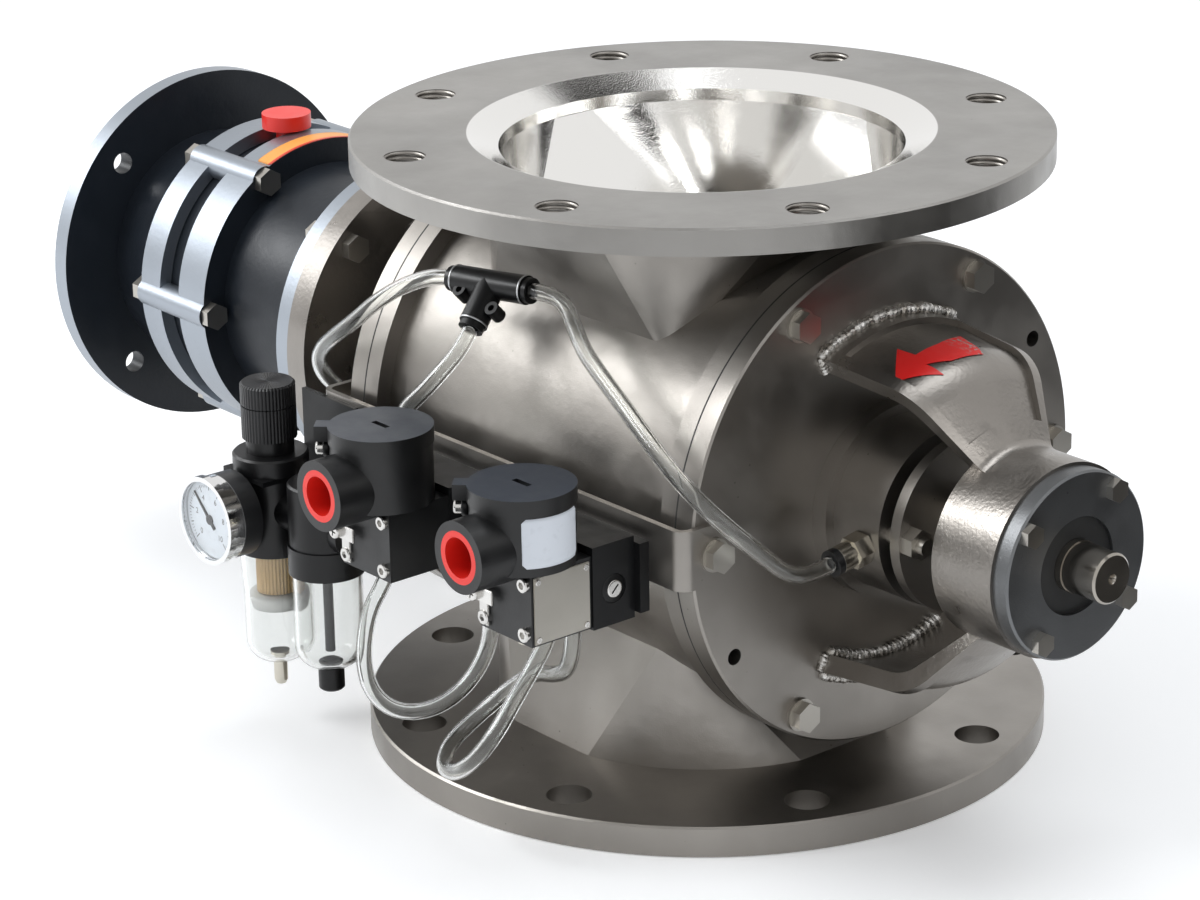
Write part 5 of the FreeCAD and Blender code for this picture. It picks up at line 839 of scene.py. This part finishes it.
def turned_piece(name, profile, centre, axis, segments=48, smooth=True):
    """A closed turned form: profile points are a distance along the axis and a radius."""
    axis, u, v = square_frame(axis)
    verts = []
    for along, radius in profile:
        for k in range(segments):
            turn = 2 * math.pi * k / segments
            verts.append(Vector(centre) + axis * along + radius * around(u, v, turn))
    faces = ring_faces(len(profile), segments) + end_faces(len(profile), segments)
    return mesh_object(name, verts, faces, smooth)


class Heads:
    """Small screw heads gathered into one mesh, each with a socket or slot in its top."""

    SIDES = 72

    def __init__(self):
        self.verts, self.faces = [], []

    def add(self, centre, axis, radius, height, socket="hex", turn=0.0, depth=0.6):
        axis, u, v = square_frame(axis)
        floor = height * (1 - depth)
        rings = [(0.0, 1), (height * 0.72, 1), (height * 0.93, 0.94), (height, 0.84),
                 (height, "socket"), (floor, "socket"), (floor, 0.02)]
        self.faces += ring_faces(len(rings), self.SIDES, len(self.verts))
        for along, shape in rings:
            for k in range(self.SIDES):
                angle = 2 * math.pi * k / self.SIDES
                share = socket_reach(socket, angle) if shape == "socket" else shape
                self.verts.append(Vector(centre) + axis * along
                                  + radius * share * around(u, v, angle + turn))

    def finish(self, name, material, body="housing"):
        return dress(mesh_object(name, self.verts, self.faces, False), material, body)


def socket_reach(kind, angle):
    """How far a socket's edge is from the centre, as a share of the head's radius."""
    if kind == "hex":
        part = (angle % (math.pi / 3)) - math.pi / 6
        return 0.46 / math.cos(part)
    long, half = 0.62, 0.11
    reaches = []
    for offset in ((0.0,) if kind == "slot" else (0.0, math.pi / 2)):
        c, s = abs(math.cos(angle + offset)), abs(math.sin(angle + offset))
        reaches.append(min(long / max(c, 1e-6), half / max(s, 1e-6)))
    return max(reaches)


# Radius and height of the screws' heads, and where the screws are in their blocks.
LARGE_HEAD, SMALL_HEAD = (0.00425, 0.003), (0.0035, 0.0025)
BLOCK_SCREW_INSET, BLOCK_SCREW_HEIGHTS = 0.006, (0.014, 0.034)
COIL_SCREW_ACROSS, COIL_SCREW_UP = 0.0145, 0.012
MANIFOLD_SCREW_ACROSS, MANIFOLD_FACE, MANIFOLD_SCREW_HEIGHT = 0.008, -0.1355, 0.141


def add_screws():
    """The valves' block, coil and manifold screws, with sockets in their heads."""
    heads = Heads()
    for axis_x in VALVE_AXES.values():
        x = axis_x + BLOCK_RIGHT - BLOCK_LENGTH + BLOCK_SCREW_INSET
        for height in BLOCK_SCREW_HEIGHTS:
            heads.add((x, BLOCK_FACE, BLOCK_BOTTOM + height), FRONT, *LARGE_HEAD, "hex",
                      axis_x * 40)
        for x_sign, z_sign in ((1, 1), (1, -1), (-1, 1), (-1, -1)):
            heads.add((axis_x + x_sign * COIL_SCREW_ACROSS, OPERATOR_FACE,
                       OPERATOR_MIDDLE + z_sign * COIL_SCREW_UP), FRONT, *SMALL_HEAD, "hex",
                      axis_x * 30 + z_sign + x_sign)
    middle = sum(VALVE_AXES.values()) / 2 + BLOCK_RIGHT - BLOCK_LENGTH / 2
    for sign in (1, -1):
        heads.add((middle + sign * MANIFOLD_SCREW_ACROSS, MANIFOLD_FACE, MANIFOLD_SCREW_HEIGHT),
                  FRONT, *LARGE_HEAD, "slot", 0.4)
    piece = heads.finish("valve_screw_heads", screw_steel)
    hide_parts("valve_screws")


add_screws()


def box_piece(name, low, high, bevel=0.0004):
    """A plate or block with rounded edges, between two corners."""
    work = bmesh.new()
    bmesh.ops.create_cube(work, size=1.0)
    for v in work.verts:
        v.co = [(a + b) / 2 + share * (b - a) for a, b, share in zip(low, high, v.co)]
    bmesh.ops.bevel(work, geom=work.edges[:], offset=bevel, segments=2, affect="EDGES")
    mesh = bpy.data.meshes.new(name)
    work.to_mesh(mesh)
    work.free()
    return place_object(name, mesh)


# The earth terminals' two strips of sheet: both corners, in X from the valve's axis, in Y
# from the operator's face, and in height.
EARTH_STRIPS = {"clamp": ((-0.0178, -0.0042, 0.1362), (-0.0048, -0.0028, 0.1432)),
                "strip": ((-0.0175, -0.0016, 0.1238), (-0.0112, -0.0001, 0.1372))}
EARTH_HEIGHT = 0.1398
LUG_WAY, LUG_REACH, LUG_HEIGHT = (-1, -1, 0), 0.0245, 0.1815


def add_valve_trim():
    """Earth terminals, lid lock screws and the blank data plate of the valves."""
    small = Heads()
    for number, x in VALVE_AXES.items():
        for label, corners in EARTH_STRIPS.items():
            low, high = ((x + dx, OPERATOR_FACE + dy, z) for dx, dy, z in corners)
            dress(box_piece("earth_%s_%d" % (label, number), low, high), screw_steel)
        post = turned_piece("earth_post_%d" % number, [(0, 0.0018), (0.003, 0.0018)],
                            (x - 0.0135, OPERATOR_FACE, EARTH_HEIGHT), FRONT, 20)
        dress(post, screw_steel)
        small.add((x - 0.0168, OPERATOR_FACE - 0.0042, EARTH_HEIGHT), FRONT, 0.0036, 0.0028,
                  "cross", 0.6)
        out = Vector(LUG_WAY).normalized()
        ear = Vector((x, COIL_LINE, LUG_HEIGHT)) + out * LUG_REACH
        lug = turned_piece("lock_lug_%d" % number,
                           [(0, 0.0042), (0.0035, 0.0042), (0.004, 0.0037)],
                           ear - out * 0.0012, LUG_WAY, 28)
        dress(lug, black_metal)
        small.add(ear + out * 0.0028, LUG_WAY, 0.0032, 0.0036, "hex", 0.3)
    face = VALVE_AXES[2] + OPERATOR_HALF
    plate = box_piece("data_plate", (face, -0.1938, 0.1228), (face + 0.0007, -0.1614, 0.1552),
                      0.0003)
    plate_shader = stainless_steel("plate_steel", (0.42, 0.4, 0.36), 0.00002, 0.1, (0.24, 0.36))
    dress(plate, plate_shader.material)
    for y in (-0.1915, -0.1637):
        for z in (0.1251, 0.1529):
            small.add((face + 0.0007, y, z), (1, 0, 0), 0.0015, 0.0007, "cross", 0.3, 0.3)
    small.finish("small_screws", screw_steel)


add_valve_trim()


def add_override_screws():
    """The slotted screw heads of the manual overrides, each in a dark guide ring."""
    for number in VALVE_AXES:
        node = "valve_%d_override" % number
        low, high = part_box(node)
        centre = (low[0], (low[1] + high[1]) / 2, (low[2] + high[2]) / 2)
        guide = (high[1] - low[1]) / 2
        length = high[0] - low[0]
        profile = [(0, guide), (length - 0.0012, guide), (length - 0.0007, guide - 0.0005)]
        ring = turned_piece("override_guide_%d" % number, profile, centre, (1, 0, 0), 48)
        dress(ring, black_metal, node)
        head = Heads()
        head.add((high[0] - 0.0011, centre[1], centre[2]), (1, 0, 0), 0.0042, 0.0011, "slot",
                 0.0, 0.8)
        screw = head.finish("override_screw_%d" % number, screw_steel, body=node)
        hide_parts(node)


add_override_screws()


# The flange faces that the tie bolts' holes would reach, each with the way it faces.
HOLED_FACES = {"input_front": (-0.424, 1, input_paint), "input_back": (-0.435, -1, input_paint),
               "output_back": (-0.237, -1, output_paint)}
SKIN_PROFILE = ((-0.002, 0.00449), (0, 0.00449), (0.00002, 0.0047), (0.00005, 0.0047))


def add_flange_skin():
    """Painted skins that close the gear flanges where the tie bolts' line crosses them."""
    for name, (x, way, paint) in HOLED_FACES.items():
        for hole in range(6):
            skin = turned_piece("flange_skin_%s_%d" % (name, hole + 1), SKIN_PROFILE,
                                on_shaft(x, TIE_BOLT_RADIUS, 60 * hole), (way, 0, 0), 32, False)
            dress(skin, paint)


add_flange_skin()


DIAL_RADIUS, TICK_END, NUMBER_RADIUS = 0.0199, 0.0176, 0.0113
SCALE_START, SCALE_SWEEP = 225, 270


def scale_way(share):
    """The direction from the dial's centre to a share of its scale."""
    angle = math.radians(SCALE_START - SCALE_SWEEP * share)
    return Vector((math.cos(angle), 0, math.sin(angle)))


def add_gauge_face():
    """The gauge's white dial with its scale and numbers, and its glass."""
    dial = turned_piece("gauge_dial",
                        [(0, DIAL_RADIUS), (0.00025, DIAL_RADIUS), (0.0003, DIAL_RADIUS - 0.0003)],
                        GAUGE_CENTRE + Vector((0, 0.0001, 0)), FRONT, 64)
    dress(dial, paper("dial_white", (0.78, 0.84, 0.9), 0.35))
    centre = GAUGE_CENTRE - Vector((0, 0.00024, 0))
    verts, faces = [], []
    for i in range(51):
        inner = 0.0142 if i % 10 == 0 else (0.0153 if i % 5 == 0 else 0.0163)
        half = 0.00022 if i % 5 == 0 else 0.00012
        way = scale_way(i / 50)
        side = Vector((-way.z, 0, way.x)) * half
        faces.append(tuple(range(len(verts), len(verts) + 4)))
        for reach, shift in ((inner, -1), (TICK_END, -1), (TICK_END, 1), (inner, 1)):
            verts.append(centre + way * reach + side * shift)
    ink = coated("dial_ink", (0.02, 0.02, 0.025), 0.5, 0.00001, 900)
    dress(mesh_object("gauge_scale", verts, faces, False), ink)
    for i in range(6):
        text = bpy.data.curves.new("gauge_number_%d" % i, "FONT")
        text.body = str(2 * i)
        text.size = 0.0042
        text.align_x = text.align_y = "CENTER"
        mesh = mesh_of_curve(text)
        place = centre + scale_way(i / 5) * NUMBER_RADIUS
        mesh.transform(Matrix.Translation(place) @ Matrix.Rotation(math.pi / 2, 4, "X"))
        dress(place_object("gauge_number_%d" % i, mesh), ink)
    glass = turned_piece("gauge_glass", [(0, DIAL_RADIUS), (0.0008, DIAL_RADIUS)],
                         GAUGE_CENTRE - Vector((0, 0.0021, 0)), FRONT, 64, False)
    shader = Shader("gauge_glass", (1, 1, 1), 0.0, 0.02, IOR=1.3, Transmission_Weight=1.0)
    shader.grain(50, 2, 0.0001, 0.05)
    dress(glass, shader.material)


add_gauge_face()


def add_threads():
    """The threads in the inlet flange's bolt holes, as ridges that run round each hole."""
    verts, faces = [], []
    sides, pitch, radius, depth = 48, 0.0025, 0.01005, 0.0011
    low, high = 0.2935, 0.3055
    for hole in range(8):
        angle = math.radians(22.5 + 45 * hole)
        centre = PIPE_BOLT_RADIUS * Vector((math.cos(angle), math.sin(angle), 0))
        steps = int((high - low) / pitch * sides)
        start = len(verts)
        for i in range(steps + 1):
            turn = 2 * math.pi * i / sides
            z = low + pitch * i / sides
            for reach, lift in ((radius, -0.45), (radius - depth, 0.0), (radius, 0.45)):
                verts.append(centre + Vector((reach * math.cos(turn), reach * math.sin(turn),
                                              min(high, max(low, z + lift * pitch)))))
        for i in range(steps):
            for k in range(2):
                a = start + i * 3 + k
                faces.append((a, a + 3, a + 4, a + 1))
    dress(mesh_object("inlet_threads", verts, faces), stainless)


add_threads()


def add_baffle():
    """The white baffle under the filter element."""
    profile = [(0, 0.006), (0.001, 0.0125), (0.006, 0.0138), (0.0085, 0.0138), (0.0085, 0.009)]
    baffle = turned_piece("filter_baffle", profile, (*KNOB_AXIS, 0.0615), (0, 0, 1), 40)
    dress(baffle, coated("baffle_white", (0.8, 0.8, 0.78), 0.45, 0.00002, 700))


add_baffle()


def add_tee_rings():
    """Grey grip rings between the tee's body and its release collars."""
    grey = plain_metal("ring_grey", (0.55, 0.56, 0.57), 0.3)
    profile = [(0, 0.0069), (0.0001, 0.0072), (0.0009, 0.0072), (0.001, 0.0069)]
    for number, way in enumerate(TEE_WAYS):
        ring = turned_piece("tee_ring_%d" % (number + 1), profile,
                            TEE_CENTRE + way * 0.0208, way, 40)
        dress(ring, grey)


add_tee_rings()


def seen_white(tree):
    """1 for rays from the camera, and for reflections and refractions of the backdrop."""
    path = tree.nodes.new("ShaderNodeLightPath")
    total = path.outputs["Is Camera Ray"]
    for name in ("Is Transmission Ray", "Is Glossy Ray"):
        larger = tree.nodes.new("ShaderNodeMath")
        larger.operation = "MAXIMUM"
        tree.links.new(total, larger.inputs[0])
        tree.links.new(path.outputs[name], larger.inputs[1])
        total = larger.outputs[0]
    return total


def add_world():
    world = bpy.data.worlds.new("studio")
    bpy.context.scene.world = world
    world.use_nodes = True
    tree = world.node_tree
    soft = tree.nodes["Background"]
    soft.inputs["Color"].default_value = (0.95, 0.97, 1, 1)
    soft.inputs["Strength"].default_value = 0.55
    white = tree.nodes.new("ShaderNodeBackground")
    white.inputs["Color"].default_value = (1, 1, 1, 1)
    white.inputs["Strength"].default_value = 1.0
    blend = tree.nodes.new("ShaderNodeMixShader")
    tree.links.new(seen_white(tree), blend.inputs["Fac"])
    tree.links.new(soft.outputs[0], blend.inputs[1])
    tree.links.new(white.outputs[0], blend.inputs[2])
    tree.links.new(blend.outputs[0], tree.nodes["World Output"].inputs["Surface"])


FLOOR_REACH, FLOOR_GAP, FLOOR_LIFT = 6.0, 0.0005, 0.2


def add_floor():
    """A white floor that keeps the object's soft shadow."""
    reach = FLOOR_REACH
    floor = mesh_object("floor", [(-reach, -reach, 0), (reach, -reach, 0), (reach, reach, 0),
                                  (-reach, reach, 0)], [(0, 1, 2, 3)], False)
    floor.location.z = -FLOOR_GAP
    shader = Shader("floor_white", (0.93, 0.93, 0.93), 0.0, 0.9, Emission_Color=(1, 1, 1))
    lift = shader.math("MULTIPLY", seen_white(shader.tree), FLOOR_LIFT)
    shader.feed(shader.surface.inputs["Emission Strength"], lift)
    floor.data.materials.append(shader.material)


def add_lamp(name, place, size, power, colour=(1, 1, 1)):
    data = bpy.data.lights.new(name, "AREA")
    data.shape = "DISK"
    data.size = size
    data.energy = power
    data.color = colour
    lamp = place_object(name, data)
    lamp.location = place
    aim = Vector(MIDDLE) - Vector(place)
    lamp.rotation_euler = aim.to_track_quat("-Z", "Y").to_euler()


def add_flag(name, place, target, width, height):
    """A dark studio flag that only reflections show."""
    centre = Vector(place)
    away = (Vector(target) - centre).normalized()
    side = away.cross(Vector((0, 0, 1)))
    if side.length < 0.01:
        side = Vector((1, 0, 0))
    side.normalize()
    up = side.cross(away)
    a, b = side * width / 2, up * height / 2
    flag = mesh_object(name, [centre - a - b, centre + a - b, centre + a + b, centre - a + b],
                       [(0, 1, 2, 3)], False)
    flag.data.materials.append(Shader("flag_" + name, (0.02, 0.018, 0.016), 0.0, 0.9).material)
    for ray in ("camera", "diffuse", "shadow", "transmission"):
        setattr(flag, "visible_" + ray, False)


add_world()
add_floor()
add_lamp("key", (-1.35, -1.7, 1.7), 1.2, 34, (0.97, 0.985, 1))
add_lamp("side", (-1.9, -0.9, 1.0), 0.9, 8, (0.95, 0.975, 1))
add_lamp("fill", (2.2, 0.3, 1.3), 1.2, 5)
add_lamp("top", (0.1, 0.5, 2.3), 1.6, 18, (0.93, 0.965, 1))
add_flag("right", (1.25, 0.75, 0.2), MIDDLE, 2.2, 1.1)
add_flag("low_right", (0.95, 0.55, 0.002), (0.95, 0.55, 1), 1.1, 1.1)
add_flag("front", (0.2, -1.9, 0.25), MIDDLE, 1.5, 0.5)
add_flag("above_1", (0.55, -0.55, 1.9), (0, 0, 0.3), 0.28, 1.4)
add_flag("above_2", (-0.35, 0.9, 1.8), (0, 0, 0.3), 0.5, 0.8)
add_flag("above_3", (0.9, 0.35, 1.6), (0, 0, 0.3), 0.3, 1.2)

bpy.context.scene.view_settings.view_transform = "Standard"
